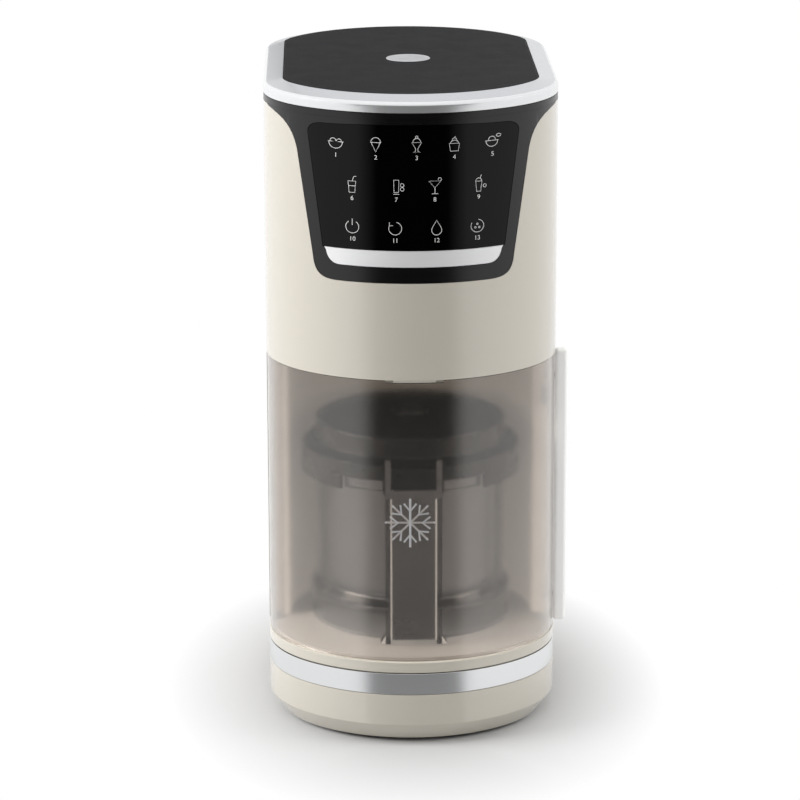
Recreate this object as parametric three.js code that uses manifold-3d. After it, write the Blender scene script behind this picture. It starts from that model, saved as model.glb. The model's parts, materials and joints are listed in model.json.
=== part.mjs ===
// Counter-top ice cream maker: a tall housing with a smoked swing door in front of the bay,
// a clear bowl with a frozen pot inside it, and a head that lowers a spinning blade into the pot.
// Millimetres. +Z up, +Y to the back. The origin is under the middle of the machine, on the table.
import * as THREE from "three";
import { mergeVertices } from "three/addons/utils/BufferGeometryUtils.js";
import Module from "manifold-3d";

const wasm = await Module();
wasm.setup();

// ---- Driving dimensions -------------------------------------------------------------------

// Plan of the body: flat sides, rounded corners and a wide round nose at the front and the back.
const BODY_WIDTH = 190;
const BODY_DEPTH = 300;
const NOSE_RADIUS = 102;
const NOSE_ANGLE = 43.5;

// Heights, stacked from the table to the top.
const FOOT_HEIGHT = 2.5;
const BEVEL_HEIGHT = 11.4;
const BASE_HEIGHT = 32.1;
const BAND_HEIGHT = 14.8;
const DECK_HEIGHT = 7.6;
const BAY_HEIGHT = 188.6;
const HEAD_HEIGHT = 167.3;
const GASKET_HEIGHT = 4.3;
const RIM_HEIGHT = 6.5;
const RIM_RISE = 3.2;

// Walls and clearances.
const WALL = 3;
const SEAM = 0.3;
const RUNNING = 0.5;
const BEVEL_INSET = 8;
const BAND_THICKNESS = 1.5;
const PLATE_THICKNESS = 2.5;
const SCREW_RADIUS = 1.5;
const SCREW_HEAD_RADIUS = 3;

// Top: silver rim round a black plate with a plain disc.
const RIM_SIDE_WIDTH = 13;
const RIM_FRONT_WIDTH = 14.6;
const RIM_ROLL = 1.2;
const PLATE_BULGE = 6;
const PLATE_CORNER_RADIUS = 32;
const BADGE_RADIUS = 14.5;

// Control panel on the front of the head, measured down from the gasket and out from the middle.
const BEZEL_DROP = 104.1;
const BEZEL_FOOT_HALF_WIDTH = 62.6;
const BEZEL_SHOULDER_HALF_WIDTH = 73;
const BEZEL_FLARE_HEIGHT = 23.6;
const BEZEL_CORNER = 15;
const GLASS_TOP_DROP = 3.4;
const GLASS_HALF_WIDTH = 66.3;
const GLASS_FOOT_HALF_WIDTH = 57.4;
const GLASS_CORNER = 8;
const GLASS_THICKNESS = 1.5;
const NAMEPLATE_HEIGHT = 10.4;
const NAMEPLATE_LIFT = 10.2;
const NAMEPLATE_CORNER = 9;

// Bay, bowl and pot, all round one upright axis, placed from the ends of the body's flat sides.
const COLUMN_SETBACK = 11.8;
const BOWL_SETBACK = 7.5;
const BAY_SIDE_GAP = 13;
const FLOOR_THICKNESS = 1.7;
const BOWL_FOOT_FLARE = 4;
const BOWL_RADIUS = 62;
const BOWL_WALL = 2.5;
const BOWL_FOOT_HEIGHT = 22.7;
const BOWL_HEIGHT = 112.7;
const POT_GAP = 3.5;
const POT_WALL = 1.5;
const POT_CORNER = 8;
const LID_OVERHANG = 10.3;
const LID_BAND_OVERHANG = 0.8;
const LID_DOME = 18;
const LID_SKIRT_DROP = 15.5;
const LID_SHOULDER_HEIGHT = 2.8;
const LID_HEIGHT = 22.3;
const LID_WALL = 2.3;
const LUG_START = 15.5;
const LUG_END = 40.5;
const LUG_HEIGHT = 7.2;
const GRIP_HALF_WIDTH = 18.4;
const GRIP_WALL = 3.7;
const GRIP_LEAD = 4.2;
const GRIP_FRONT_WALL = 2.5;
const GRIP_TOP_RISE = 9.5;
const TAB_HEIGHT = 14;

// Door and its pull.
const DOOR_INSET = 0.6;
const DOOR_WALL = 3;
const DOOR_GAP = 0.6;
const HINGE_INSET = 5.1;
const HINGE_LEAD = 5.5;
const HINGE_RADIUS = 4.5;
const PIN_RADIUS = 1.5;
const PIN_ENGAGEMENT = 7;
const PULL_REACH = 8;
const PULL_THICKNESS = 6.6;
const PULL_LEAD = 12.5;
const CATCH_HALF_WIDTH = 13.5;
const CATCH_DROP = 1.5;

// Drive: gear train, spindle and its lift.
const GEAR_MODULE = 2;
const WHEEL_TEETH = 28;
const PINION_TEETH = 14;
const GEAR_WIDTH = 8;
const GEAR_BACKLASH = 0.3;
const AXLE_RADIUS = 3;
const HEX_HALF_FLAT = 4.5;
const HUB_RADIUS = 8.2;
const SPINDLE_DROP = 25.6;
const LIFT_STROKE = 120;
const CARRIAGE_HEIGHT = 11;
const FLANGE_HEIGHT = 1.4;
const FLANGE_RADIUS = 7;
const JOURNAL_RADIUS = 5;
const BEARING_RADIUS = 9;
const ROD_RADIUS = 4;
const ROD_SPREAD = 36;
const LEAD_SCREW_MARGIN = 51;
const LEAD_SCREW_LEAD = 31;
const BUSH_RADIUS = 10;
const BUSH_FLANGE = 3;
const GUARD_RADIUS = 16;
const GUARD_DROP = 5;
const LIFT_MOTOR_RADIUS = 16;
const MOTOR_RADIUS = 34;
const MOTOR_HEIGHT = 70;
const MOTOR_BORE = 24;
const SHAFT_RADIUS = 4;
const FAN_RADIUS = 29;
const FAN_HUB_RADIUS = 9;
const FAN_HEIGHT = 11;
const FAN_LIFT = 3;
const FAN_BLADES = 7;
const BLADE_STROKE = 82;
const BLADE_GAP = 3.5;
const COLLAR_WALL = 3;
const BLADE_HUB_HEIGHT = 27;
const BLADE_HUB_RADIUS = 8.6;
const SOCKET_DEPTH = 15;

// Circuit boards and what stands on them.
const BOARD_THICKNESS = 1.6;
const POWER_BOARD_SETBACK = 46;
const POWER_BOARD_MARGIN = 49;
const POWER_BOARD_HEIGHT = 110;
const TRANSFORMER_WIDTH = 28;
const TRANSFORMER_DEPTH = 25;
const HEAT_SINK_WIDTH = 26;
const HEAT_SINK_HEIGHT = 35;
const HEAT_SINK_SLOTS = 5;
const CAPACITOR_RADIUS = 9;
const CONTROL_BOARD_SETBACK = 23;
const CONTROL_BOARD_HALF_WIDTH = 52;
const CONTROL_BOARD_MARGIN = 12;
const CONNECTOR_WIDTH = 24;
const CONNECTOR_HEIGHT = 8;

// Rear cover and its vents.
const COVER_HALF_WIDTH = 58;
const COVER_MARGIN = 18;
const COVER_LIP = 6;
const VENT_COUNT = 4;
const VENT_HALF_WIDTH = 34;
const VENT_HEIGHT = 5;
const VENT_PITCH = 11;
const GLAND_RADIUS = 9;

// Facets of round stretches.
const NOSE_STEPS = 5;
const CORNER_STEPS = 3;
const LINER_STEPS = 18;
const ROUND = 24;
const MEDIUM_ROUND = 12;
const SMALL_ROUND = 8;

// ---- Levels and places worked out from them ------------------------------------------------

const radians = (degrees) => THREE.MathUtils.degToRad(degrees);
const degrees = (angle) => THREE.MathUtils.radToDeg(angle);

// Arc that joins a nose arc to a flat side, touching both.
function cornerArc(width, depth, noseRadius, noseAngle) {
  const lean = Math.sin(radians(noseAngle));
  const radius = (width - noseRadius * lean) / (1 - lean);
  const y = depth - noseRadius + (noseRadius - radius) * Math.cos(radians(noseAngle));
  return { x: width - radius, y, radius };
}

const halfWidth = BODY_WIDTH / 2;
const halfDepth = BODY_DEPTH / 2;
const baseBottom = FOOT_HEIGHT;
const bandBottom = baseBottom + BASE_HEIGHT;
const bandTop = bandBottom + BAND_HEIGHT;
const deckTop = bandTop + DECK_HEIGHT;
const headBottom = deckTop + BAY_HEIGHT;
const gasketBottom = headBottom + HEAD_HEIGHT;
const rimBottom = gasketBottom + GASKET_HEIGHT;
const rimEdge = rimBottom + RIM_HEIGHT;
const plateTop = rimEdge + RIM_RISE;
const floorTop = deckTop + SEAM + FLOOR_THICKNESS;
const ceilingTop = headBottom + WALL;
const hingeX = -(halfWidth - HINGE_INSET);
const columnFrontY = COLUMN_SETBACK - cornerArc(halfWidth, halfDepth, NOSE_RADIUS, NOSE_ANGLE).y;
const bowlAxisY = columnFrontY + BOWL_SETBACK;
const hingeY = columnFrontY - HINGE_LEAD;
const pullY = columnFrontY - PULL_LEAD;
const leadScrewY = bowlAxisY - LEAD_SCREW_LEAD;
const doorBottom = deckTop + DOOR_GAP;
const doorTop = headBottom - DOOR_GAP;

const bayRadius = halfWidth - BAY_SIDE_GAP;
const leadScrewX = halfWidth - LEAD_SCREW_MARGIN;
const potRadius = BOWL_RADIUS - BOWL_WALL - POT_GAP;
const bowlFootRadius = BOWL_RADIUS + BOWL_FOOT_FLARE;
const lidRadius = BOWL_RADIUS + LID_OVERHANG;
const lidBandRadius = BOWL_RADIUS + LID_BAND_OVERHANG;
const lidHoleRadius = BLADE_HUB_RADIUS + COLLAR_WALL + 2 * SEAM;
const gripReach = lidRadius + GRIP_LEAD;
const bladeReach = potRadius - POT_WALL - BLADE_GAP;
const bowlBottom = floorTop + SEAM;
const bowlTop = bowlBottom + BOWL_HEIGHT;
const bowlShelf = bowlBottom + BOWL_FOOT_HEIGHT;
const potBottom = bowlShelf + SEAM;
const potTop = bowlTop + SEAM + POT_WALL;
const lidSeat = potTop + 2 * SEAM + 1.4;
const lidTop = lidSeat + LID_HEIGHT;
const skirtBottom = lidSeat - LID_SKIRT_DROP;

const wheelRadius = (GEAR_MODULE * WHEEL_TEETH) / 2;
const pinionRadius = (GEAR_MODULE * PINION_TEETH) / 2;
const gearSpacing = wheelRadius + pinionRadius;
const countershaftY = bowlAxisY + gearSpacing;
const motorY = countershaftY + gearSpacing;
const bushTop = ceilingTop + 2.5;
const lowerGear = bushTop + SEAM;
const upperGear = lowerGear + GEAR_WIDTH + 1.2;
const gearPlateBottom = upperGear + GEAR_WIDTH + 1.2;
const gearPlateTop = gearPlateBottom + WALL;
const carriageBottom = gearPlateTop + LIFT_STROKE + FLANGE_HEIGHT + 2 * SEAM;
const carriageTop = carriageBottom + CARRIAGE_HEIGHT;
const bracketBottom = carriageTop + 2.7;
const bracketTop = bracketBottom + WALL;
const spindleTip = headBottom - SPINDLE_DROP;
const motorBottom = gearPlateTop + SEAM;
const motorTop = motorBottom + MOTOR_HEIGHT;
const bladeBottom = potBottom + POT_WALL + 2.5 + BLADE_STROKE;
const bladeHubTop = bladeBottom + BLADE_HUB_HEIGHT;

const bezelBottom = gasketBottom - BEZEL_DROP;
const coverBottom = deckTop + COVER_MARGIN;
const coverTop = gasketBottom - COVER_MARGIN;

// ---- Shapes ----------------------------------------------------------------------------------

function arc(x, y, radius, from, to, steps) {
  const curve = new THREE.EllipseCurve(x, y, radius, radius, radians(from), radians(to), to < from);
  return curve.getPoints(steps);
}

// Right half of an outline, from bottom to top, closed by its mirror image.
function mirrored(points) {
  const left = points.map((p) => new THREE.Vector2(-p.x, p.y)).reverse();
  return [...points, ...left].filter((p, i, all) => i === 0 || p.distanceTo(all[i - 1]) > 1e-4);
}

// Closed plan of nose and corner arcs that meet flat sides, anticlockwise, drawn in by inset.
function plan(width, depth, noseRadius, noseAngle, inset) {
  const { x, y, radius } = cornerArc(width, depth, noseRadius, noseAngle);
  const corner = arc(x, y, radius - inset, 0, 90 - noseAngle, CORNER_STEPS);
  const nose = arc(0, depth - noseRadius, noseRadius - inset, 90 - noseAngle, 90, NOSE_STEPS);
  const right = [...corner, ...nose.slice(1)];
  const left = right.map((p) => new THREE.Vector2(-p.x, p.y)).reverse();
  const back = [...right, ...left.slice(1)];
  const front = back.map((p) => new THREE.Vector2(-p.x, -p.y));
  return [...back, ...front];
}

const bodyPlan = (inset) => plan(halfWidth, halfDepth, NOSE_RADIUS, NOSE_ANGLE, inset);

// Plan of the plate on top, whose nose is a little wider than the plate itself.
function platePlan(inset) {
  const width = halfWidth - RIM_SIDE_WIDTH;
  const noseRadius = width + PLATE_BULGE;
  const noseAngle = degrees(Math.asin((width - PLATE_CORNER_RADIUS) / (noseRadius - PLATE_CORNER_RADIUS)));
  return plan(width, halfDepth - RIM_FRONT_WIDTH, noseRadius, noseAngle, inset);
}

// Y of the front nose at a given x, drawn in by inset.
function noseFront(x, inset) {
  return -(halfDepth - NOSE_RADIUS) - Math.sqrt((NOSE_RADIUS - inset) ** 2 - x ** 2);
}

function polygon(sides, apothem, turn = 0) {
  const radius = apothem / Math.cos(Math.PI / sides);
  const points = [];
  for (let i = 0; i < sides; i++) {
    const angle = radians(turn) + (2 * Math.PI * i) / sides;
    points.push(new THREE.Vector2(radius * Math.cos(angle), radius * Math.sin(angle)));
  }
  return points;
}

// Involute spur gear with stub teeth, one tooth centred on +X.
function gearOutline(teeth) {
  const pressure = radians(20);
  const pitch = (GEAR_MODULE * teeth) / 2;
  const base = pitch * Math.cos(pressure);
  const tip = pitch + 0.8 * GEAR_MODULE;
  const root = pitch - 1.1 * GEAR_MODULE;
  const involute = (angle) => Math.tan(angle) - angle;
  const halfTooth = Math.PI / (2 * teeth) - GEAR_BACKLASH / (2 * pitch) + involute(pressure);
  const halfAt = (r) => halfTooth - involute(Math.acos(Math.min(1, base / Math.max(r, base))));
  const flank = [root, tip];
  const points = [];
  for (let i = 0; i < teeth; i++) {
    const middle = (2 * Math.PI * i) / teeth;
    const rise = flank.map((r) => [r, middle - halfAt(r)]);
    const fall = flank.map((r) => [r, middle + halfAt(r)]).reverse();
    for (const [r, angle] of [...rise, ...fall]) {
      points.push(new THREE.Vector2(r * Math.cos(angle), r * Math.sin(angle)));
    }
  }
  return points;
}

// ---- Solids ----------------------------------------------------------------------------------

function solid(geometry) {
  const loose = geometry.index ? geometry.toNonIndexed() : geometry;
  const bare = new THREE.BufferGeometry();
  bare.setAttribute("position", loose.getAttribute("position"));
  const merged = mergeVertices(bare, 1e-4);
  return new wasm.Manifold(
    new wasm.Mesh({
      numProp: 3,
      vertProperties: merged.attributes.position.array,
      triVerts: new Uint32Array(merged.index.array),
    }),
  );
}

const join = (first, ...rest) => rest.reduce((whole, piece) => whole.add(piece), first);

const cut = (first, ...rest) => rest.reduce((whole, piece) => whole.subtract(piece), first);

const common = (first, ...rest) => rest.reduce((whole, piece) => whole.intersect(piece), first);

// A plan outline raised from one level to another, with an optional hole.
function prism(outline, bottom, top, hole = null, x = 0, y = 0) {
  const shape = new THREE.Shape(outline);
  if (hole) {
    shape.holes = [new THREE.Path(hole)];
  }
  const geometry = new THREE.ExtrudeGeometry(shape, { depth: top - bottom, bevelEnabled: false });
  return solid(geometry.translate(x, y, bottom));
}

// An outline in x and z pushed through the model along y.
function frontPrism(outline, back, front) {
  const shape = new THREE.Shape(outline);
  const geometry = new THREE.ExtrudeGeometry(shape, { depth: back - front, bevelEnabled: false });
  return solid(geometry.rotateX(Math.PI / 2).translate(0, back, 0));
}

function box(x0, x1, y0, y1, z0, z1) {
  const geometry = new THREE.BoxGeometry(x1 - x0, y1 - y0, z1 - z0);
  return solid(geometry.translate((x0 + x1) / 2, (y0 + y1) / 2, (z0 + z1) / 2));
}

function disc(radius, bottom, top, x = 0, y = bowlAxisY, steps = ROUND) {
  const geometry = new THREE.CylinderGeometry(radius, radius, top - bottom, steps);
  return solid(geometry.rotateX(Math.PI / 2).translate(x, y, (bottom + top) / 2));
}

// A round pin lying along y, or along x.
function pinAlongY(radius, front, back, x, z, steps = SMALL_ROUND) {
  const geometry = new THREE.CylinderGeometry(radius, radius, back - front, steps);
  return solid(geometry.translate(x, (front + back) / 2, z));
}

function pinAlongX(radius, left, right, y, z) {
  const geometry = new THREE.CylinderGeometry(radius, radius, right - left, SMALL_ROUND);
  return solid(geometry.rotateZ(Math.PI / 2).translate((left + right) / 2, y, z));
}

// A profile of [radius, height] pairs, anticlockwise, turned about an upright axis.
function revolve(profile, x = 0, y = bowlAxisY, steps = ROUND) {
  const points = profile.map(([radius, height]) => new THREE.Vector2(radius, height));
  points.push(points[0].clone());
  const geometry = new THREE.LatheGeometry(points, steps);
  return solid(geometry.rotateX(Math.PI / 2).translate(x, y, 0));
}

// Outlines of equal length stacked as [outline, level] and skinned into one closed body.
function loft(sections) {
  const count = sections[0][0].length;
  const positions = sections.flatMap(([outline, z]) => outline.flatMap((p) => [p.x, p.y, z]));
  const index = [];
  for (let level = 0; level + 1 < sections.length; level++) {
    for (let i = 0; i < count; i++) {
      const a = level * count + i;
      const b = level * count + ((i + 1) % count);
      index.push(a, b, b + count, a, b + count, a + count);
    }
  }
  const last = (sections.length - 1) * count;
  for (const [a, b, c] of THREE.ShapeUtils.triangulateShape(sections[0][0], [])) {
    index.push(a, c, b, last + a, last + b, last + c);
  }
  const geometry = new THREE.BufferGeometry();
  geometry.setAttribute("position", new THREE.Float32BufferAttribute(positions, 3));
  geometry.setIndex(index);
  return solid(geometry);
}

// Upright wall that follows the body's plan between two insets.
const wall = (outer, inner, bottom, top) => prism(bodyPlan(outer), bottom, top, bodyPlan(inner));

// Part of a ring between two angles from the front, as an upright wedge to cut or keep with.
function sector(radius, from, to, bottom, top) {
  const outline = [new THREE.Vector2(0, 0), ...arc(0, 0, radius, from, to, 4)];
  return prism(outline, bottom, top, null, 0, bowlAxisY);
}

const group = new THREE.Group();

function addPart(name, shape, color, roughness, metalness = 0, opacity = 1) {
  const made = shape.getMesh();
  const geometry = new THREE.BufferGeometry();
  geometry.setAttribute("position", new THREE.BufferAttribute(made.vertProperties, 3));
  geometry.setIndex(new THREE.BufferAttribute(made.triVerts, 1));
  geometry.computeVertexNormals();
  const material = new THREE.MeshStandardMaterial({ color, roughness, metalness, flatShading: true });
  material.opacity = opacity;
  material.transparent = opacity < 1;
  const mesh = new THREE.Mesh(geometry, material);
  mesh.name = name;
  group.add(mesh);
}

const CREAM = 0xdcd6c8;
const SILVER = 0xc9c9c8;
const BLACK = 0x1b1b1d;
const GREY = 0x6b6b6e;
const STEEL = 0xa9abae;
const BRASS = 0xb08d4a;
const BOARD = 0x1f5a3c;
const SMOKE = 0x6b635c;
const CLEAR = 0xd5d8da;

// ---- Base ------------------------------------------------------------------------------------

const atCorners = (x, y) => [-1, 1].flatMap((sx) => [-1, 1].map((sy) => [sx * x, sy * y]));
const screwPlaces = atCorners(halfWidth - 37, halfDepth - 58);
const footPlaces = atCorners(halfWidth - 33, halfDepth - 80);
const corners = ["front_left", "rear_left", "front_right", "rear_right"];
const coverTopLevel = baseBottom + PLATE_THICKNESS;
const glandZ = (baseBottom + BEVEL_HEIGHT + bandBottom) / 2;

function baseHousing() {
  const groove = BAND_THICKNESS + SEAM;
  const outside = loft([
    [bodyPlan(BEVEL_INSET), baseBottom],
    [bodyPlan(0), baseBottom + BEVEL_HEIGHT],
    [bodyPlan(0), bandBottom],
    [bodyPlan(groove), bandBottom],
    [bodyPlan(groove), bandTop],
  ]);
  const inside = loft([
    [bodyPlan(BEVEL_INSET + WALL), baseBottom - 1],
    [bodyPlan(BEVEL_INSET + WALL), baseBottom + 1],
    [bodyPlan(groove + WALL), baseBottom + BEVEL_HEIGHT],
    [bodyPlan(groove + WALL), bandTop + 1],
  ]);
  const glandHole = pinAlongY(GLAND_RADIUS - 2 + SEAM, halfDepth - 10, halfDepth + 1, 0, glandZ);
  const glandSeat = pinAlongY(GLAND_RADIUS + SEAM, halfDepth - WALL / 2, halfDepth + 1, 0, glandZ);
  return cut(outside, inside, glandHole, glandSeat);
}

function baseDeck() {
  const shell = cut(
    prism(bodyPlan(0), bandTop + SEAM, deckTop),
    prism(bodyPlan(WALL), bandTop, deckTop - PLATE_THICKNESS),
  );
  const posts = screwPlaces.map(([x, y]) => disc(5, coverTopLevel + SEAM, deckTop - 1, x, y, SMALL_ROUND));
  const bores = screwPlaces.map(([x, y]) =>
    disc(SCREW_RADIUS + SEAM, coverTopLevel, coverTopLevel + 14, x, y, SMALL_ROUND),
  );
  const pinHole = disc(PIN_RADIUS + SEAM, deckTop - PIN_ENGAGEMENT, deckTop + 1, hingeX, hingeY, SMALL_ROUND);
  const pinBoss = common(
    disc(5, deckTop - PIN_ENGAGEMENT - 1.5 + PLATE_THICKNESS, deckTop - 1, hingeX, hingeY, SMALL_ROUND),
    prism(bodyPlan(1), bandTop + SEAM, deckTop),
  );
  return cut(join(shell, ...posts, pinBoss, ...boardGuides()), ...bores, pinHole);
}

// Slotted posts on the deck, behind the bay, that hold the power board upright.
const powerBoardY = halfDepth - POWER_BOARD_SETBACK;
const powerBoardHalfWidth = halfWidth - POWER_BOARD_MARGIN;

function boardGuides() {
  return [-1, 1].map((side) => {
    const x = side * powerBoardHalfWidth;
    const post = box(x - 4, x + 4, powerBoardY - 4, powerBoardY + 4, deckTop - 0.5, deckTop + 26);
    const inner = x - side * 5;
    const outer = x + side * SEAM;
    const slot = box(
      Math.min(inner, outer),
      Math.max(inner, outer),
      powerBoardY - BOARD_THICKNESS / 2 - SEAM,
      powerBoardY + BOARD_THICKNESS / 2 + SEAM,
      deckTop,
      deckTop + 27,
    );
    return cut(post, slot);
  });
}

function baseCover() {
  const plate = prism(bodyPlan(BEVEL_INSET + WALL + SEAM), baseBottom, coverTopLevel);
  const screwHoles = screwPlaces.map(([x, y]) =>
    disc(SCREW_RADIUS + SEAM, 0, coverTopLevel + 1, x, y, SMALL_ROUND),
  );
  const footHoles = footPlaces.map(([x, y]) =>
    disc(3 + SEAM, 0, coverTopLevel + 1, x, y, SMALL_ROUND),
  );
  const ribs = [-1, 1].map((side) =>
    box(side * 40 - 1, side * 40 + 1, -60, 60, coverTopLevel - 0.5, coverTopLevel + 5),
  );
  return join(cut(plate, ...screwHoles, ...footHoles), ...ribs);
}

// Rubber foot: a disc under the cover with a barbed peg through it.
function foot(x, y) {
  return revolve(
    [
      [0, 0],
      [8, 0],
      [9, 0.6],
      [9, FOOT_HEIGHT],
      [3, FOOT_HEIGHT],
      [3, coverTopLevel + 0.3],
      [3.8, coverTopLevel + 0.3],
      [2.4, coverTopLevel + 2],
      [0, coverTopLevel + 2],
    ],
    x,
    y,
    SMALL_ROUND,
  );
}

function coverScrew(x, y) {
  return join(
    disc(SCREW_HEAD_RADIUS, baseBottom - 1.6, baseBottom - SEAM, x, y, SMALL_ROUND),
    disc(SCREW_RADIUS, baseBottom - 1, coverTopLevel + 10, x, y, SMALL_ROUND),
  );
}

addPart("base_housing", baseHousing(), CREAM, 0.3);
addPart("base_deck", baseDeck(), CREAM, 0.3);
addPart("base_cover", baseCover(), GREY, 0.6);
addPart("base_band", wall(0, BAND_THICKNESS, bandBottom + SEAM, bandTop - SEAM), SILVER, 0.3, 0.9);
footPlaces.forEach(([x, y], i) => addPart(`foot_${corners[i]}`, foot(x, y), BLACK, 0.9));
screwPlaces.forEach(([x, y], i) => addPart(`base_screw_${corners[i]}`, coverScrew(x, y), STEEL, 0.4, 0.9));

// Cord inlet: a plain bushing in the back of the base.
function cordGland() {
  const outer = halfDepth - SEAM;
  const flange = pinAlongY(GLAND_RADIUS, halfDepth - WALL / 2 + SEAM, outer, 0, glandZ);
  const neck = pinAlongY(GLAND_RADIUS - 2, halfDepth - 14, outer - 0.5, 0, glandZ);
  const bore = pinAlongY(3.6, halfDepth - 12, halfDepth + 1, 0, glandZ);
  return cut(join(flange, neck), bore);
}

addPart("cord_gland", cordGland(), BLACK, 0.7);

// ---- Column behind the bay, its liner and the floor -----------------------------------------

// Frame behind the cover's window that the cover sits on.
function coverLip(bottom, top) {
  const reach = COVER_HALF_WIDTH + COVER_LIP;
  const opening = COVER_HALF_WIDTH - COVER_LIP;
  const frame = common(
    wall(WALL - 0.1, WALL + 2, bottom, top),
    box(-reach, reach, 60, halfDepth, coverBottom - COVER_LIP, coverTop + COVER_LIP),
  );
  return cut(
    frame,
    box(-opening, opening, 60, halfDepth, coverBottom + 2 * COVER_LIP, coverTop - 2 * COVER_LIP),
    pinAlongY(SCREW_RADIUS + SEAM, 60, halfDepth, 0, coverBottom + COVER_LIP),
    pinAlongY(SCREW_RADIUS + SEAM, 60, halfDepth, 0, coverTop - COVER_LIP),
  );
}

const coverWindow = box(-COVER_HALF_WIDTH, COVER_HALF_WIDTH, 60, halfDepth + 1, coverBottom, coverTop);

function columnHousing() {
  const bottom = deckTop + SEAM;
  const top = headBottom - SEAM;
  const shell = common(
    wall(0, WALL, bottom, top),
    box(-halfWidth - 1, halfWidth + 1, columnFrontY, halfDepth + 1, bottom, top),
  );
  return join(cut(shell, coverWindow), coverLip(bottom, top));
}

// Round back wall of the bay with a flange at each side that closes the column's front.
function bayLiner() {
  const outer = bayRadius + PLATE_THICKNESS;
  const flangeEnd = halfWidth - WALL - SEAM;
  const flangeBack = columnFrontY + PLATE_THICKNESS;
  const start = degrees(Math.asin((columnFrontY - bowlAxisY) / bayRadius));
  const outerStart = degrees(Math.asin((flangeBack - bowlAxisY) / outer));
  const shape = [
    new THREE.Vector2(flangeEnd, columnFrontY),
    new THREE.Vector2(flangeEnd, flangeBack),
    ...arc(0, bowlAxisY, outer, outerStart, 180 - outerStart, LINER_STEPS),
    new THREE.Vector2(-flangeEnd, flangeBack),
    new THREE.Vector2(-flangeEnd, columnFrontY),
    ...arc(0, bowlAxisY, bayRadius, 180 - start, start, LINER_STEPS),
  ];
  return prism(shape, deckTop + SEAM, headBottom - SEAM);
}

function bayFloor() {
  const edge = DOOR_INSET + DOOR_WALL + 1.4;
  const front = common(
    prism(bodyPlan(edge), deckTop + SEAM, floorTop),
    box(-halfWidth, halfWidth, -halfDepth, columnFrontY - SEAM, deckTop, floorTop + 1),
  );
  const round = disc(bayRadius - RUNNING, deckTop + SEAM, floorTop);
  const hub = disc(bowlFootRadius - BOWL_WALL - 1, floorTop - 0.5, floorTop + 2);
  const hingeRoom = disc(HINGE_RADIUS + 1, deckTop, floorTop + 1, hingeX, hingeY, SMALL_ROUND);
  const back = box(-halfWidth, halfWidth, -halfDepth, bowlAxisY + bayRadius, deckTop, headBottom);
  return common(cut(join(front, round, hub), hingeRoom), back);
}

function powerBoard() {
  const bottom = deckTop + SEAM;
  const x = powerBoardHalfWidth;
  const half = BOARD_THICKNESS / 2;
  const face = powerBoardY + half - SEAM;
  const depth = powerBoardY + TRANSFORMER_DEPTH;
  const board = box(-x, x, powerBoardY - half, powerBoardY + half, bottom, bottom + POWER_BOARD_HEIGHT);
  const transformer = box(
    -(x + TRANSFORMER_WIDTH) / 2,
    -(x - TRANSFORMER_WIDTH) / 2,
    face,
    depth,
    bottom + BOARD_THICKNESS * 5,
    bottom + BOARD_THICKNESS * 5 + TRANSFORMER_WIDTH,
  );
  const sinkLeft = (x - HEAT_SINK_WIDTH) / 2;
  const sinkBottom = bottom + POWER_BOARD_HEIGHT / 2;
  const sinkTop = sinkBottom + HEAT_SINK_HEIGHT;
  const heatSink = box(sinkLeft, sinkLeft + HEAT_SINK_WIDTH, face, depth - 5, sinkBottom, sinkTop);
  const pitch = HEAT_SINK_WIDTH / (HEAT_SINK_SLOTS + 1.5);
  const slots = Array.from({ length: HEAT_SINK_SLOTS }, (_, i) => {
    const left = sinkLeft + (i + 1) * pitch;
    return box(left, left + pitch / 2, powerBoardY + 5, depth, sinkBottom - 1, sinkTop + 1);
  });
  const capacitor = pinAlongY(CAPACITOR_RADIUS, face, depth, -x / 2, sinkBottom + 2 * CAPACITOR_RADIUS);
  return join(board, transformer, cut(heatSink, ...slots), capacitor);
}

addPart("column_housing", columnHousing(), CREAM, 0.3);
addPart("bay_liner", bayLiner(), CREAM, 0.4);
addPart("bay_floor", bayFloor(), CREAM, 0.35);
addPart("power_board", powerBoard(), BOARD, 0.6);

// ---- Head, its ceiling over the bay, and the rear cover --------------------------------------

// Control panel outline on the front, in x and z, grown by a clearance.
function bezelOutline(grow) {
  const bottom = bezelBottom - grow;
  const shoulder = gasketBottom - BEZEL_FLARE_HEIGHT;
  const foot = BEZEL_FOOT_HALF_WIDTH + grow;
  const side = BEZEL_SHOULDER_HALF_WIDTH + grow;
  const edge = halfWidth - WALL - 0.3 + grow;
  const path = new THREE.Path();
  path.moveTo(0, bottom);
  path.lineTo(foot - BEZEL_CORNER, bottom);
  path.bezierCurveTo(foot - 3, bottom, foot, bottom + 4, foot + 1, bottom + BEZEL_CORNER);
  path.lineTo(side, shoulder);
  path.bezierCurveTo(side + 3, shoulder + 15, side + 10, gasketBottom - 4, edge, gasketBottom - 1);
  path.lineTo(edge, gasketBottom + 1);
  path.lineTo(0, gasketBottom + 1);
  return mirrored(path.getPoints(7));
}

const glassBottom = bezelBottom + NAMEPLATE_LIFT + NAMEPLATE_HEIGHT + SEAM;
const glassTop = gasketBottom - GLASS_TOP_DROP;

// Touch glass: a shallow arch on top, round upper corners, sides that draw in downwards.
function glassOutline(grow) {
  const side = GLASS_HALF_WIDTH + grow;
  const top = glassTop + grow;
  const path = new THREE.Path();
  path.moveTo(0, glassBottom - grow);
  path.lineTo(GLASS_FOOT_HALF_WIDTH + grow, glassBottom - grow);
  path.lineTo(side, top - GLASS_CORNER);
  path.quadraticCurveTo(side, top - 2, side - GLASS_CORNER, top - 1.2);
  path.quadraticCurveTo(side / 2, top, 0, top);
  return mirrored(path.getPoints(5));
}

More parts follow.
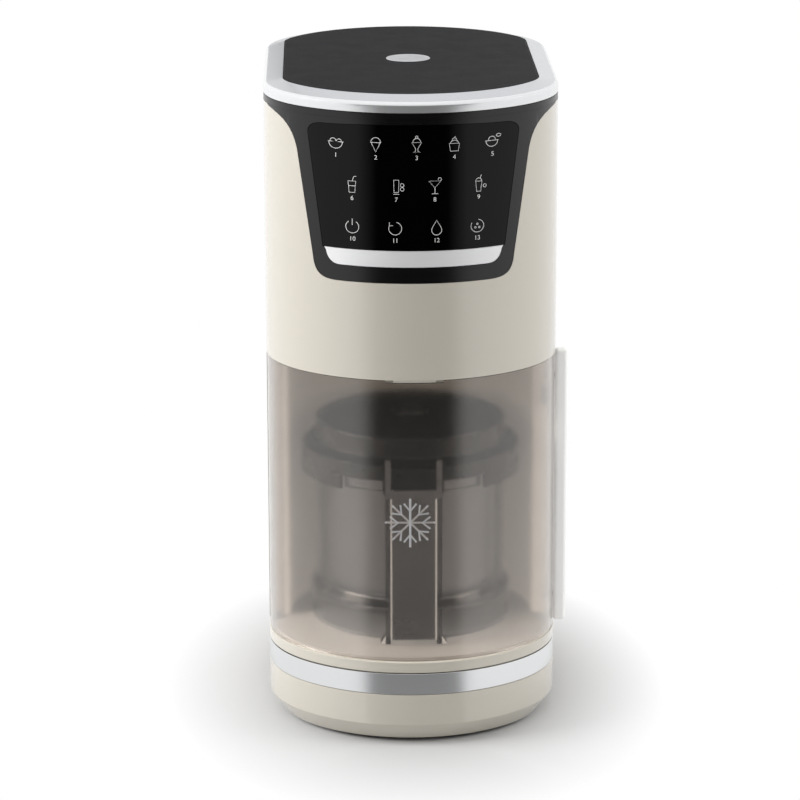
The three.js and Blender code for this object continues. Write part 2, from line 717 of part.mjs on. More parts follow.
// Plain bar below the glass, its lower corners rounded off.
function nameplateOutline(grow) {
  const bottom = bezelBottom + NAMEPLATE_LIFT - grow;
  const top = bottom + NAMEPLATE_HEIGHT + 2 * grow;
  const half = GLASS_FOOT_HALF_WIDTH - 0.9 + grow;
  const path = new THREE.Path();
  path.moveTo(0, bottom);
  path.lineTo(half - NAMEPLATE_CORNER - 1, bottom);
  path.quadraticCurveTo(half - 2.5, bottom, half - 1, top - 2);
  path.lineTo(half, top);
  path.lineTo(0, top);
  return mirrored(path.getPoints(5));
}

const PANEL_BACK = -70;
const panelCut = (outline) => frontPrism(outline, PANEL_BACK, -halfDepth - 1);

function headHousing() {
  const top = gasketBottom - SEAM;
  const shell = cut(wall(0, WALL, headBottom, top), panelCut(bezelOutline(SEAM)), coverWindow);
  const pinBoss = common(
    disc(5, headBottom, headBottom + PIN_ENGAGEMENT + 3, hingeX, hingeY, SMALL_ROUND),
    prism(bodyPlan(1), headBottom, top),
  );
  const pinHole = disc(PIN_RADIUS + SEAM, 0, headBottom + PIN_ENGAGEMENT, hingeX, hingeY, SMALL_ROUND);
  const catchTab = common(
    wall(DOOR_INSET, WALL, headBottom - CATCH_DROP, headBottom + 1),
    box(-CATCH_HALF_WIDTH, CATCH_HALF_WIDTH, -halfDepth, 0, 0, gasketBottom),
  );
  return cut(join(shell, pinBoss, catchTab, coverLip(headBottom, top)), pinHole);
}

const postPlaces = [-1, 1].flatMap((side) => {
  const x = side * (halfWidth - 23);
  return [[x, bowlAxisY - 33], [x, motorY + 27]];
});

function bayCeiling() {
  const inset = WALL + SEAM;
  const coverRoom = COVER_HALF_WIDTH + 8;
  const plate = cut(
    prism(bodyPlan(inset), headBottom, ceilingTop),
    disc(5 + SEAM, 0, gasketBottom, hingeX, hingeY, SMALL_ROUND),
    box(-coverRoom, coverRoom, halfDepth - 35, halfDepth, headBottom - 1, ceilingTop + 1),
  );
  const round = (radius, from, to) => disc(radius, from, to, 0, bowlAxisY, MEDIUM_ROUND);
  const guard = round(GUARD_RADIUS, headBottom - GUARD_DROP, headBottom + 0.5);
  const boss = round(BUSH_RADIUS + BUSH_FLANGE + 1, ceilingTop - 0.5, ceilingTop + 1);
  const bushBore = round(BUSH_RADIUS + SEAM, headBottom - 2, ceilingTop + 2);
  const mouth = round(BUSH_RADIUS - 2, headBottom - GUARD_DROP - 1, headBottom + 1);
  const axleBoss = disc(6.5, ceilingTop - 0.5, lowerGear - 2 * SEAM, 0, countershaftY, SMALL_ROUND);
  const axleHole = disc(AXLE_RADIUS + SEAM, headBottom + 1.2, lowerGear, 0, countershaftY, SMALL_ROUND);
  const posts = postPlaces.map(([x, y]) =>
    disc(5, ceilingTop - 0.5, gearPlateBottom - SEAM, x, y, SMALL_ROUND),
  );
  return cut(join(plate, guard, boss, axleBoss, ...posts), bushBore, mouth, axleHole);
}

function rearCover() {
  const half = COVER_HALF_WIDTH - SEAM;
  const bottom = coverBottom + SEAM;
  const top = coverTop - SEAM;
  const panel = common(
    wall(0, WALL - 0.1 - SEAM, bottom, top),
    box(-half, half, 60, halfDepth + 1, bottom, top),
  );
  const upper = coverTop - 30;
  const lower = coverBottom + 40 + VENT_COUNT * VENT_PITCH;
  const vents = [upper, lower].flatMap((from) =>
    Array.from({ length: VENT_COUNT }, (_, i) => {
      const z = from - i * VENT_PITCH;
      const half = VENT_HEIGHT / 2;
      return box(-VENT_HALF_WIDTH, VENT_HALF_WIDTH, 60, halfDepth + 1, z - half, z + half);
    }),
  );
  const mullion = common(panel, box(-2, 2, 60, halfDepth + 1, bottom, top));
  const holes = [coverBottom + COVER_LIP, coverTop - COVER_LIP].flatMap((z) => [
    pinAlongY(SCREW_RADIUS + SEAM, 60, halfDepth + 1, 0, z),
    pinAlongY(SCREW_HEAD_RADIUS + SEAM, halfDepth - 1.2, halfDepth + 1, 0, z),
  ]);
  return cut(join(cut(panel, ...vents), mullion), ...holes);
}

function rearScrew(z) {
  return join(
    pinAlongY(SCREW_HEAD_RADIUS, halfDepth - 1.2 + SEAM, halfDepth - 0.1, 0, z),
    pinAlongY(SCREW_RADIUS, halfDepth - 10, halfDepth - 0.5, 0, z),
  );
}

addPart("head_housing", headHousing(), CREAM, 0.3);
addPart("bay_ceiling", bayCeiling(), CREAM, 0.4);
addPart("rear_cover", rearCover(), CREAM, 0.4);
addPart("rear_screw_lower", rearScrew(coverBottom + COVER_LIP), STEEL, 0.4, 0.9);
addPart("rear_screw_upper", rearScrew(coverTop - COVER_LIP), STEEL, 0.4, 0.9);

// ---- Control panel ---------------------------------------------------------------------------

const controlBoardY = noseFront(0, 0) + CONTROL_BOARD_SETBACK;
const boardBossPlaces = [-1, 1].flatMap((side) =>
  [bezelBottom + 18, gasketBottom - 18].map((z) => [side * 44, z]),
);

function controlBezel() {
  const panel = common(wall(0, WALL, headBottom, gasketBottom - SEAM), panelCut(bezelOutline(0)));
  const pocket = common(
    wall(-1, GLASS_THICKNESS + SEAM, headBottom, gasketBottom),
    join(panelCut(glassOutline(SEAM)), panelCut(nameplateOutline(SEAM))),
  );
  const behindPocket = prism(bodyPlan(WALL - 0.7), headBottom, gasketBottom);
  const bosses = boardBossPlaces.map(([x, z]) =>
    common(pinAlongY(3.5, -halfDepth, controlBoardY - BOARD_THICKNESS / 2 - SEAM, x, z), behindPocket),
  );
  return join(cut(panel, pocket), ...bosses);
}

function touchGlass() {
  return common(wall(0.2, GLASS_THICKNESS, headBottom, gasketBottom), panelCut(glassOutline(0)));
}

function nameplateBar() {
  return common(wall(0.1, GLASS_THICKNESS, headBottom, gasketBottom), panelCut(nameplateOutline(0)));
}

function controlBoard() {
  const half = BOARD_THICKNESS / 2;
  const bottom = bezelBottom + CONTROL_BOARD_MARGIN;
  const top = gasketBottom - CONTROL_BOARD_MARGIN;
  const reach = CONNECTOR_WIDTH / 2;
  const back = controlBoardY + half;
  const side = CONTROL_BOARD_HALF_WIDTH;
  const plug = bottom + 2;
  const board = box(-side, side, controlBoardY - half, back, bottom, top);
  const connector = box(-reach, reach, back - SEAM, back + CONNECTOR_HEIGHT, plug, plug + CONNECTOR_HEIGHT);
  return join(board, connector);
}

addPart("control_bezel", controlBezel(), BLACK, 0.2);
addPart("touch_glass", touchGlass(), BLACK, 0.05);
addPart("nameplate_bar", nameplateBar(), SILVER, 0.3, 0.9);
addPart("control_board", controlBoard(), BOARD, 0.6);

// ---- Top -------------------------------------------------------------------------------------

function topRim() {
  const outside = loft([
    [bodyPlan(0), rimBottom],
    [bodyPlan(0), rimEdge - RIM_ROLL],
    [bodyPlan(RIM_ROLL * 0.3), rimEdge - RIM_ROLL * 0.3],
    [bodyPlan(RIM_ROLL), rimEdge],
    [platePlan(-SEAM), plateTop],
  ]);
  const opening = prism(platePlan(-SEAM), plateTop - WALL - SEAM, plateTop + 1);
  const below = prism(platePlan(4), rimBottom - 1, plateTop);
  return cut(outside, opening, below);
}

function topPlate() {
  const plate = loft([
    [platePlan(0), plateTop - WALL],
    [platePlan(0), plateTop - 0.6],
    [platePlan(0.6), plateTop],
  ]);
  return cut(plate, disc(BADGE_RADIUS + SEAM, plateTop - 0.8, plateTop + 1, 0, 0));
}

addPart("neck_gasket", wall(0.9, WALL + 2, gasketBottom, rimBottom - SEAM), BLACK, 0.6);
addPart("top_rim", topRim(), SILVER, 0.25, 0.9);
addPart("top_plate", topPlate(), BLACK, 0.5, 0.3);
addPart("top_badge", disc(BADGE_RADIUS, plateTop - 0.5, plateTop + 0.3, 0, 0), SILVER, 0.3, 0.9);

// ---- Door ------------------------------------------------------------------------------------

const doorEndY = columnFrontY - 1.5;
const pullScrewLevels = [doorBottom + 18, doorTop - 18];
const doorInside = halfWidth - DOOR_INSET - DOOR_WALL;

// Curved panel that ends in a hinge barrel at the left, with a notch at the top for the catch.
function doorPanel() {
  const skin = wall(DOOR_INSET, DOOR_INSET + DOOR_WALL, doorBottom, doorTop);
  const keep = join(
    box(hingeX, halfWidth, -halfDepth, doorEndY, doorBottom - 1, doorTop + 1),
    box(-halfWidth, hingeX + 1, -halfDepth, hingeY, doorBottom - 1, doorTop + 1),
  );
  const barrel = disc(HINGE_RADIUS, doorBottom, doorTop, hingeX, hingeY, MEDIUM_ROUND);
  const bore = PIN_RADIUS + SEAM;
  const room = PIN_ENGAGEMENT + 1;
  return cut(
    join(common(skin, keep), barrel),
    disc(bore, doorBottom - 1, doorBottom + room, hingeX, hingeY, SMALL_ROUND),
    disc(bore, doorTop - room, doorTop + 1, hingeX, hingeY, SMALL_ROUND),
    box(-CATCH_HALF_WIDTH - 5, CATCH_HALF_WIDTH + 5, -halfDepth, -halfDepth / 2, doorTop - 1.6, doorTop + 1),
    ...pullScrewLevels.map((z) => pinAlongX(SCREW_RADIUS + SEAM, doorInside - 1, halfWidth, pullY, z)),
  );
}

// Upright bar proud of the right side, its outer edges rounded.
function doorPull() {
  const inner = halfWidth - DOOR_INSET + SEAM;
  const outer = halfWidth + PULL_REACH;
  const front = pullY - PULL_THICKNESS / 2;
  const back = pullY + PULL_THICKNESS / 2;
  const round = PULL_THICKNESS / 2 - 0.3;
  const outline = [
    new THREE.Vector2(inner, front),
    ...arc(outer - round, front + round, round, -90, 0, 4),
    ...arc(outer - round, back - round, round, 0, 90, 4),
    new THREE.Vector2(inner, back),
  ];
  const bores = pullScrewLevels.map((z) => pinAlongX(SCREW_RADIUS + SEAM, inner - 1, outer - 3, pullY, z));
  return cut(prism(outline, doorBottom, doorTop), ...bores);
}

function pullScrew(z) {
  return join(
    pinAlongX(SCREW_HEAD_RADIUS, doorInside - 2, doorInside - 2 * SEAM, pullY, z),
    pinAlongX(SCREW_RADIUS, doorInside - 1, halfWidth + PULL_REACH - 3.5, pullY, z),
  );
}

const magnetZ = (doorBottom + doorTop) / 2 + 60;

addPart("door_panel", doorPanel(), SMOKE, 0.08, 0, 0.45);
addPart("door_pull", doorPull(), SILVER, 0.3, 0.9);
addPart("door_pull_screw_lower", pullScrew(pullScrewLevels[0]), STEEL, 0.4, 0.9);
addPart("door_pull_screw_upper", pullScrew(pullScrewLevels[1]), STEEL, 0.4, 0.9);
addPart(
  "door_magnet",
  box(doorInside - SEAM - 3, doorInside - SEAM, doorEndY - 5, doorEndY - 0.5, magnetZ - 6, magnetZ + 6),
  STEEL,
  0.4,
  0.8,
);
addPart(
  "reed_switch",
  box(
    doorInside - 5,
    doorInside - 0.4,
    columnFrontY + PLATE_THICKNESS + SEAM,
    columnFrontY + PLATE_THICKNESS + 5,
    magnetZ - 8,
    magnetZ + 8,
  ),
  BLACK,
  0.6,
);
const pinReach = PIN_ENGAGEMENT - 0.5;
addPart(
  "hinge_pin_lower",
  disc(PIN_RADIUS, deckTop - pinReach, doorBottom + pinReach, hingeX, hingeY, SMALL_ROUND),
  STEEL,
  0.3,
  0.9,
);
addPart(
  "hinge_pin_upper",
  disc(PIN_RADIUS, doorTop - pinReach, headBottom + pinReach, hingeX, hingeY, SMALL_ROUND),
  STEEL,
  0.3,
  0.9,
);

// ---- Bowl, pot and lid -----------------------------------------------------------------------

const lugAngles = [-90 + LUG_START, -90 - LUG_END, 90 + LUG_START, 90 - LUG_END];
const lugSpan = LUG_END - LUG_START;
const skirtInside = lidRadius - LID_WALL;
const gripFront = bowlAxisY - gripReach;
const gripInside = GRIP_HALF_WIDTH - GRIP_WALL;
const gripTop = lidSeat + GRIP_TOP_RISE;

function outerBowl() {
  const inside = BOWL_RADIUS - BOWL_WALL;
  const shelfUnder = bowlShelf - BOWL_WALL;
  const body = revolve([
    [0, shelfUnder],
    [bowlFootRadius - BOWL_WALL - 4, shelfUnder],
    [bowlFootRadius - BOWL_WALL, shelfUnder - 4],
    [bowlFootRadius - BOWL_WALL, bowlBottom],
    [bowlFootRadius - 0.8, bowlBottom],
    [bowlFootRadius, bowlBottom + 1],
    [bowlFootRadius, bowlShelf],
    [BOWL_RADIUS, bowlShelf + 5],
    [BOWL_RADIUS, bowlTop],
    [inside, bowlTop],
    [inside, bowlShelf + 4],
    [inside - 4, bowlShelf],
    [0, bowlShelf],
  ]);
  const lugRing = cut(
    disc(skirtInside - SEAM, skirtBottom + 1, skirtBottom + 1 + LUG_HEIGHT),
    disc(BOWL_RADIUS - 1, skirtBottom, skirtBottom + 12),
  );
  const lugs = lugAngles.map((from) =>
    common(lugRing, sector(lidRadius + 5, from + 1, from + lugSpan - 1, skirtBottom, skirtBottom + 12)),
  );
  const grip = cut(
    join(
      box(-GRIP_HALF_WIDTH, GRIP_HALF_WIDTH, gripFront, bowlAxisY, bowlBottom + 1, skirtBottom - RUNNING),
      box(-GRIP_HALF_WIDTH, GRIP_HALF_WIDTH, gripFront, gripFront + 3.4, skirtBottom - 1, gripTop),
      ...[-1, 1].map((side) => gripFoot(side)),
    ),
    box(-gripInside, gripInside, gripFront + GRIP_FRONT_WALL, bowlAxisY, 0, headBottom),
    box(-gripInside, gripInside, gripFront - 1, bowlAxisY, 0, bowlBottom + 4),
    box(-gripInside, gripInside, gripFront - 1, bowlAxisY, skirtBottom + 4.7, headBottom),
    disc(BOWL_RADIUS - 1, 0, headBottom),
    disc(bowlFootRadius - 1, 0, bowlShelf - 1),
  );
  return join(body, ...lugs, grip);
}

// Flare at the bottom of each side of the grip.
function gripFoot(side) {
  const outline = [
    new THREE.Vector2(side * (GRIP_HALF_WIDTH - 1), bowlBottom + 1),
    new THREE.Vector2(side * (GRIP_HALF_WIDTH + 3), bowlBottom + 1),
    new THREE.Vector2(side * (GRIP_HALF_WIDTH + 3), bowlBottom + 2),
    new THREE.Vector2(side * (GRIP_HALF_WIDTH - 1), bowlBottom + 8),
  ];
  return frontPrism(outline, gripFront + 8, gripFront);
}

function innerPot() {
  const inside = potRadius - POT_WALL;
  const round = (radius, from, to) =>
    arc(inside - POT_CORNER + POT_WALL, potBottom + POT_CORNER, radius, from, to, 3).map((p) => [p.x, p.y]);
  return revolve([
    [0, potBottom],
    ...round(POT_CORNER, -90, 0),
    [potRadius, potTop - POT_WALL],
    [BOWL_RADIUS - 0.5, potTop - POT_WALL],
    [BOWL_RADIUS - 0.5, potTop],
    [inside, potTop],
    ...round(POT_CORNER - POT_WALL, 0, -90),
    [0, potBottom + POT_WALL],
  ]);
}

function potLid() {
  const inside = potRadius - POT_WALL;
  const shoulder = lidSeat + LID_SHOULDER_HEIGHT;
  const body = revolve([
    [lidHoleRadius, lidTop - 5],
    [inside, lidTop - 5],
    [inside, lidSeat],
    [skirtInside, lidSeat],
    [skirtInside, skirtBottom],
    [lidRadius, skirtBottom],
    [lidRadius, shoulder],
    [lidRadius - 2, shoulder + 1.8],
    [lidBandRadius + 2, shoulder + 3.8],
    [lidBandRadius, shoulder + 5.6],
    [lidBandRadius, lidTop - 3],
    [lidBandRadius - 2, lidTop - 1],
    [lidBandRadius - LID_DOME, lidTop - 0.3],
    [lidHoleRadius, lidTop],
  ]);
  const windowRing = cut(
    disc(lidRadius + 1, skirtBottom - 1, skirtBottom + LUG_HEIGHT + 2.3),
    disc(skirtInside - 1, 0, headBottom),
  );
  const windows = lugAngles.map((from) =>
    common(windowRing, sector(lidRadius + 5, from, from + lugSpan, 0, headBottom)),
  );
  const tab = cut(
    box(
      -gripInside + SEAM,
      gripInside - SEAM,
      gripFront + 0.3,
      bowlAxisY - skirtInside + 1,
      skirtBottom + 5,
      skirtBottom + 5 + TAB_HEIGHT,
    ),
    disc(skirtInside + 0.5, 0, headBottom),
  );
  return join(cut(body, ...windows), tab);
}

addPart("outer_bowl", outerBowl(), CLEAR, 0.05, 0, 0.3);
addPart("inner_pot", innerPot(), 0xb9bcc0, 0.3, 0.2);
addPart("pot_lid", potLid(), BLACK, 0.4);
addPart(
  "lid_seal",
  cut(
    disc(BOWL_RADIUS - 1.5, potTop + SEAM, lidSeat - SEAM),
    disc(potRadius + 0.5, potTop, lidSeat),
  ),
  GREY,
  0.8,
);

// ---- Blade that the spindle picks up ----------------------------------------------------------

function bladePaddle() {
  const socket = polygon(6, HEX_HALF_FLAT + SEAM + 0.1);
  const hub = cut(
    disc(BLADE_HUB_RADIUS, bladeBottom, bladeHubTop, 0, bowlAxisY, MEDIUM_ROUND),
    prism(socket, bladeHubTop - SOCKET_DEPTH, bladeHubTop + 1, null, 0, bowlAxisY),
  );
  const arms = [0, 180].map((turn) => {
    const plate = new THREE.BoxGeometry(bladeReach - 5, 9.5, 2.2);
    plate.rotateX(radians(38));
    plate.translate((bladeReach + 5) / 2 - 1, 0, 3.9);
    const scraper = new THREE.BoxGeometry(2.2, 6, 10);
    scraper.rotateZ(radians(-25));
    scraper.translate(bladeReach - 3, 0, 5);
    return [plate, scraper].map((g) => solid(g.rotateZ(radians(turn)).translate(0, bowlAxisY, bladeBottom)));
  });
  const floor = prism(polygon(12, bladeReach + 10), bladeBottom, bladeHubTop, null, 0, bowlAxisY);
  return common(join(hub, ...arms.flat()), floor);
}

// Loose collar round the hub that fills the hole of the lid.
function bladeCollar() {
  return revolve(
    [
      [BLADE_HUB_RADIUS + SEAM, bladeHubTop - 14],
      [lidHoleRadius - SEAM, bladeHubTop - 14],
      [lidHoleRadius - SEAM, bladeHubTop + 0.5],
      [BLADE_HUB_RADIUS + SEAM, bladeHubTop + 0.5],
    ],
    0,
    bowlAxisY,
    MEDIUM_ROUND,
  );
}

addPart("blade_paddle", bladePaddle(), STEEL, 0.3, 0.8);
addPart("blade_collar", bladeCollar(), 0xe4e4e0, 0.6);

// ---- Gear train and main motor ----------------------------------------------------------------

function gearPlate() {
  const plate = common(
    prism(bodyPlan(WALL + SEAM), gearPlateBottom, gearPlateTop),
    box(-halfWidth, halfWidth, bowlAxisY - 47, motorY + MOTOR_RADIUS + 9, gearPlateBottom, gearPlateTop),
  );
  const hole = (radius, x, y) => disc(radius, gearPlateBottom - 1, gearPlateTop + 1, x, y, MEDIUM_ROUND);
  return cut(
    plate,
    hole(HUB_RADIUS + SEAM, 0, bowlAxisY),
    hole(AXLE_RADIUS + SEAM, 0, countershaftY),
    hole(SHAFT_RADIUS + 2, 0, motorY),
    hole(SHAFT_RADIUS + RUNNING, leadScrewX, leadScrewY),
    hole(ROD_RADIUS + SEAM, -ROD_SPREAD, bowlAxisY),
    hole(ROD_RADIUS + SEAM, ROD_SPREAD, bowlAxisY),
  );
}

function spindleBush() {
  const bore = HEX_HALF_FLAT + 1.9;
  return revolve(
    [
      [bore, headBottom + SEAM],
      [BUSH_RADIUS, headBottom + SEAM],
      [BUSH_RADIUS, ceilingTop + 1 + SEAM],
      [BUSH_RADIUS + BUSH_FLANGE, ceilingTop + 1 + SEAM],
      [BUSH_RADIUS + BUSH_FLANGE, bushTop],
      [bore, bushTop],
    ],
    0,
    bowlAxisY,
    MEDIUM_ROUND,
  );
}

function driveGear() {
  const wheel = prism(gearOutline(WHEEL_TEETH), lowerGear, lowerGear + GEAR_WIDTH, null, 0, bowlAxisY);
  const hub = disc(HUB_RADIUS, lowerGear + 1, gearPlateTop, 0, bowlAxisY, MEDIUM_ROUND);
  const bore = prism(
    polygon(6, HEX_HALF_FLAT + SEAM + 0.1),
    lowerGear - 1,
    gearPlateTop + 1,
    null,
    0,
    bowlAxisY,
  );
  return cut(join(wheel, hub), bore);
}

function countershaftGear() {
  return cut(
    join(
      prism(gearOutline(PINION_TEETH), lowerGear, lowerGear + GEAR_WIDTH + 0.5, null, 0, countershaftY),
      disc(pinionRadius - 2, lowerGear + 1, upperGear + 1, 0, countershaftY, MEDIUM_ROUND),
      prism(gearOutline(WHEEL_TEETH), upperGear, upperGear + GEAR_WIDTH - 1, null, 0, countershaftY),
    ),
    disc(AXLE_RADIUS + SEAM, 0, gasketBottom, 0, countershaftY, SMALL_ROUND),
  );
}

function motorHousing() {
  const shell = revolve(
    [
      [SHAFT_RADIUS + SEAM, motorBottom],
      [MOTOR_RADIUS, motorBottom],
      [MOTOR_RADIUS, motorTop - 2],
      [MOTOR_RADIUS - 2, motorTop],
      [SHAFT_RADIUS + SEAM, motorTop],
      [SHAFT_RADIUS + SEAM, motorTop - 4],
      [MOTOR_BORE, motorTop - 4],
      [MOTOR_BORE, motorBottom + 4],
      [SHAFT_RADIUS + SEAM, motorBottom + 4],
    ],
    0,
    motorY,
    MEDIUM_ROUND + 4,
  );
  const slots = [0, 60, 120].map((turn) => {
    const slot = new THREE.BoxGeometry(MOTOR_RADIUS * 2 + 2, 9, 7);
    return solid(slot.rotateZ(radians(turn)).translate(0, motorY, motorTop - 8));
  });
  return cut(shell, ...slots);
}

function motorRotor() {
  const pinionBottom = upperGear - SEAM;
  return join(
    prism(gearOutline(PINION_TEETH), pinionBottom, gearPlateBottom - 1, null, 0, motorY),
    disc(SHAFT_RADIUS, pinionBottom + 1, motorTop + 16, 0, motorY, SMALL_ROUND),
    disc(MOTOR_BORE - 1.5, motorBottom + 12, motorTop - 18, 0, motorY, MEDIUM_ROUND),
    disc(MOTOR_BORE / 2, motorTop - 19, motorTop - 8, 0, motorY, MEDIUM_ROUND),
  );
}

function coolingFan() {
  const bottom = motorTop + FAN_LIFT;
  const hub = disc(FAN_HUB_RADIUS, bottom, bottom + FAN_HEIGHT, 0, motorY, MEDIUM_ROUND);
  const back = disc(FAN_RADIUS, bottom, bottom + PLATE_THICKNESS / 2, 0, motorY);
  const vanes = Array.from({ length: FAN_BLADES }, (_, i) => {
    const reach = FAN_RADIUS - FAN_HUB_RADIUS;
    const vane = new THREE.BoxGeometry(reach, PLATE_THICKNESS / 2, FAN_HEIGHT - 2);
    vane.rotateZ(radians(18)).translate(FAN_HUB_RADIUS - 1.5 + reach / 2, 0, bottom + FAN_HEIGHT / 2);
    return solid(vane.rotateZ((2 * Math.PI * i) / FAN_BLADES).translate(0, motorY, 0));
  });
  const bore = disc(SHAFT_RADIUS + SEAM, bottom - 1, bottom + FAN_HEIGHT + 1, 0, motorY, SMALL_ROUND);
  return cut(join(hub, back, ...vanes), bore);
}

addPart("gear_plate", gearPlate(), STEEL, 0.4, 0.8);
addPart("spindle_bush", spindleBush(), BRASS, 0.4, 0.8);
addPart("drive_gear", driveGear(), STEEL, 0.4, 0.7);
addPart("countershaft_gear", countershaftGear(), STEEL, 0.4, 0.7);
addPart(
  "countershaft_axle",
  disc(AXLE_RADIUS, headBottom + 1.2 + SEAM, gearPlateTop, 0, countershaftY, SMALL_ROUND),
  STEEL,
  0.3,
  0.9,
);
addPart("motor_housing", motorHousing(), GREY, 0.4, 0.7);
addPart("motor_rotor", motorRotor(), BRASS, 0.4, 0.7);
addPart("cooling_fan", coolingFan(), BLACK, 0.6);

// ---- Spindle lift ------------------------------------------------------------------------------

const rodTop = bracketTop + 1;

function carriage() {
  const y = bowlAxisY;
  const bar = 8;
  const boss = (radius, x, at) => disc(radius, carriageBottom, carriageTop, x, at, MEDIUM_ROUND);
  const crossBar = box(-ROD_SPREAD, ROD_SPREAD, y - 7, y + 7, carriageBottom, carriageBottom + bar);
  const reach = Math.hypot(leadScrewX, leadScrewY - y);
  const arm = new THREE.BoxGeometry(reach, 12, bar);
  arm.translate(reach / 2, 0, carriageBottom + bar / 2);
  arm.rotateZ(Math.atan2(leadScrewY - y, leadScrewX)).translate(0, y, 0);
  const hole = (radius, x, at) => disc(radius, carriageBottom - 1, carriageTop + 1, x, at, MEDIUM_ROUND);
  return cut(
    join(
      boss(BEARING_RADIUS + 5, 0, y),
      boss(ROD_RADIUS + 5, -ROD_SPREAD, y),
      boss(ROD_RADIUS + 5, ROD_SPREAD, y),
      boss(SHAFT_RADIUS + 5, leadScrewX, leadScrewY),
      crossBar,
      solid(arm),
    ),
    hole(BEARING_RADIUS + SEAM, 0, y),
    hole(ROD_RADIUS + SEAM, -ROD_SPREAD, y),
    hole(ROD_RADIUS + SEAM, ROD_SPREAD, y),
    hole(SHAFT_RADIUS + SEAM, leadScrewX, leadScrewY),
  );
}

function topBracket() {
  const y = bowlAxisY;
  const plate = box(-ROD_SPREAD - 10, leadScrewX + 10, leadScrewY - 10, y + 12, bracketBottom, bracketTop);
  const hole = (radius, x, at) => disc(radius, bracketBottom - 1, bracketTop + 1, x, at, MEDIUM_ROUND);
  return cut(
    plate,
    hole(ROD_RADIUS + SEAM, -ROD_SPREAD, y),
    hole(ROD_RADIUS + SEAM, ROD_SPREAD, y),
    hole(SHAFT_RADIUS + SEAM, leadScrewX, leadScrewY),
  );
}

// Hexagonal shaft with a flange under the carriage, a journal in its bearing and a nut on top.
function spindleShaft() {
  const flange = carriageBottom - SEAM - FLANGE_HEIGHT;
  const nut = carriageTop + SEAM;
  return join(
    prism(polygon(6, HEX_HALF_FLAT), spindleTip, flange + 1, null, 0, bowlAxisY),
    disc(FLANGE_RADIUS, flange, flange + FLANGE_HEIGHT, 0, bowlAxisY, MEDIUM_ROUND),
    disc(JOURNAL_RADIUS, flange + 1, nut + FLANGE_HEIGHT, 0, bowlAxisY, MEDIUM_ROUND),
    disc(FLANGE_RADIUS, nut, nut + FLANGE_HEIGHT, 0, bowlAxisY, MEDIUM_ROUND),
  );
}

function ringPart(outer, inner, bottom, top) {
  return cut(
    disc(outer, bottom, top, 0, bowlAxisY, MEDIUM_ROUND),
    disc(inner, bottom - 1, top + 1, 0, bowlAxisY, MEDIUM_ROUND),
  );
}

function rod(radius, bottom, x, y) {
  return disc(radius, bottom, rodTop, x, y, MEDIUM_ROUND);
}

function liftMotor() {
  const top = gearPlateBottom - SEAM;
  const can = disc(LIFT_MOTOR_RADIUS, ceilingTop + 2, top, leadScrewX, leadScrewY, MEDIUM_ROUND);
  return cut(can, disc(SHAFT_RADIUS + SEAM, ceilingTop + 4, top + 1, leadScrewX, leadScrewY, MEDIUM_ROUND));
}

addPart("spindle_carriage", carriage(), STEEL, 0.4, 0.6);
addPart(
  "spindle_bearing",
  ringPart(BEARING_RADIUS, JOURNAL_RADIUS + SEAM, carriageBottom + 1, carriageTop - 1),
  STEEL,
  0.3,
  0.9,
);
addPart("spindle_shaft", spindleShaft(), STEEL, 0.25, 0.9);
addPart("guide_rod_left", rod(ROD_RADIUS, gearPlateBottom, -ROD_SPREAD, bowlAxisY), STEEL, 0.2, 0.9);
addPart("guide_rod_right", rod(ROD_RADIUS, gearPlateBottom, ROD_SPREAD, bowlAxisY), STEEL, 0.2, 0.9);
addPart("lead_screw", rod(SHAFT_RADIUS, ceilingTop + 4 + SEAM, leadScrewX, leadScrewY), STEEL, 0.3, 0.9);
addPart("lift_motor", liftMotor(), GREY, 0.4, 0.7);
addPart("top_bracket", topBracket(), STEEL, 0.4, 0.8);

// The pull stands out on the right only, so the model moves left until its box is centred.
group.position.x = -PULL_REACH / 2;

export default group;
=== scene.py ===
# %% [markdown]
# # An ice cream maker in its finishes
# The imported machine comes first. Every piece in it has its true place and size, in metres, with the
# machine standing on the table at height nought and its front towards -Y. The pieces made below take
# their places from it, so that nothing has to be fitted by eye.

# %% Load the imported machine
import json
import bpy
import bmesh
from math import asin, cos, pi, radians, sin, sqrt, tan
from mathutils import Matrix, Vector
from mathutils.geometry import interpolate_bezier

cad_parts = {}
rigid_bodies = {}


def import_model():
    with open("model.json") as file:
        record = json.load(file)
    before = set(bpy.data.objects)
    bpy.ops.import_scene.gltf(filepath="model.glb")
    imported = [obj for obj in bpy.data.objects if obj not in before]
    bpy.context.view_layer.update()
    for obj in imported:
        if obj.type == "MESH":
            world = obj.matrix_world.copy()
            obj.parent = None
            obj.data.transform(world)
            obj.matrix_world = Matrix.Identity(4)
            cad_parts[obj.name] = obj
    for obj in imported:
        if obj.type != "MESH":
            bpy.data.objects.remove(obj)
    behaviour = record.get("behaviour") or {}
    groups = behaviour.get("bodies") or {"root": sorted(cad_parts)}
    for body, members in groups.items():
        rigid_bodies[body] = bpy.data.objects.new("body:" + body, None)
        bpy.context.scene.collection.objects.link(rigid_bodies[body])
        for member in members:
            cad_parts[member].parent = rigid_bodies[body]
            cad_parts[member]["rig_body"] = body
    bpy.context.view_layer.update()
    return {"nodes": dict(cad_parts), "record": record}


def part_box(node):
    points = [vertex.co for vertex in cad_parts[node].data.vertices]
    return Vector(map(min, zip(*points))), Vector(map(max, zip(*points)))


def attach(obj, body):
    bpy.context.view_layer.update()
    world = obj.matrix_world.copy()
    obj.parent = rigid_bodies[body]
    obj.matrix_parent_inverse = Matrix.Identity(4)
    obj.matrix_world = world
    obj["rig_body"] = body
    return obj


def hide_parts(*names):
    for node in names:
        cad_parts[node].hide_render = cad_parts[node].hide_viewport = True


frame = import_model()
MM = 0.001

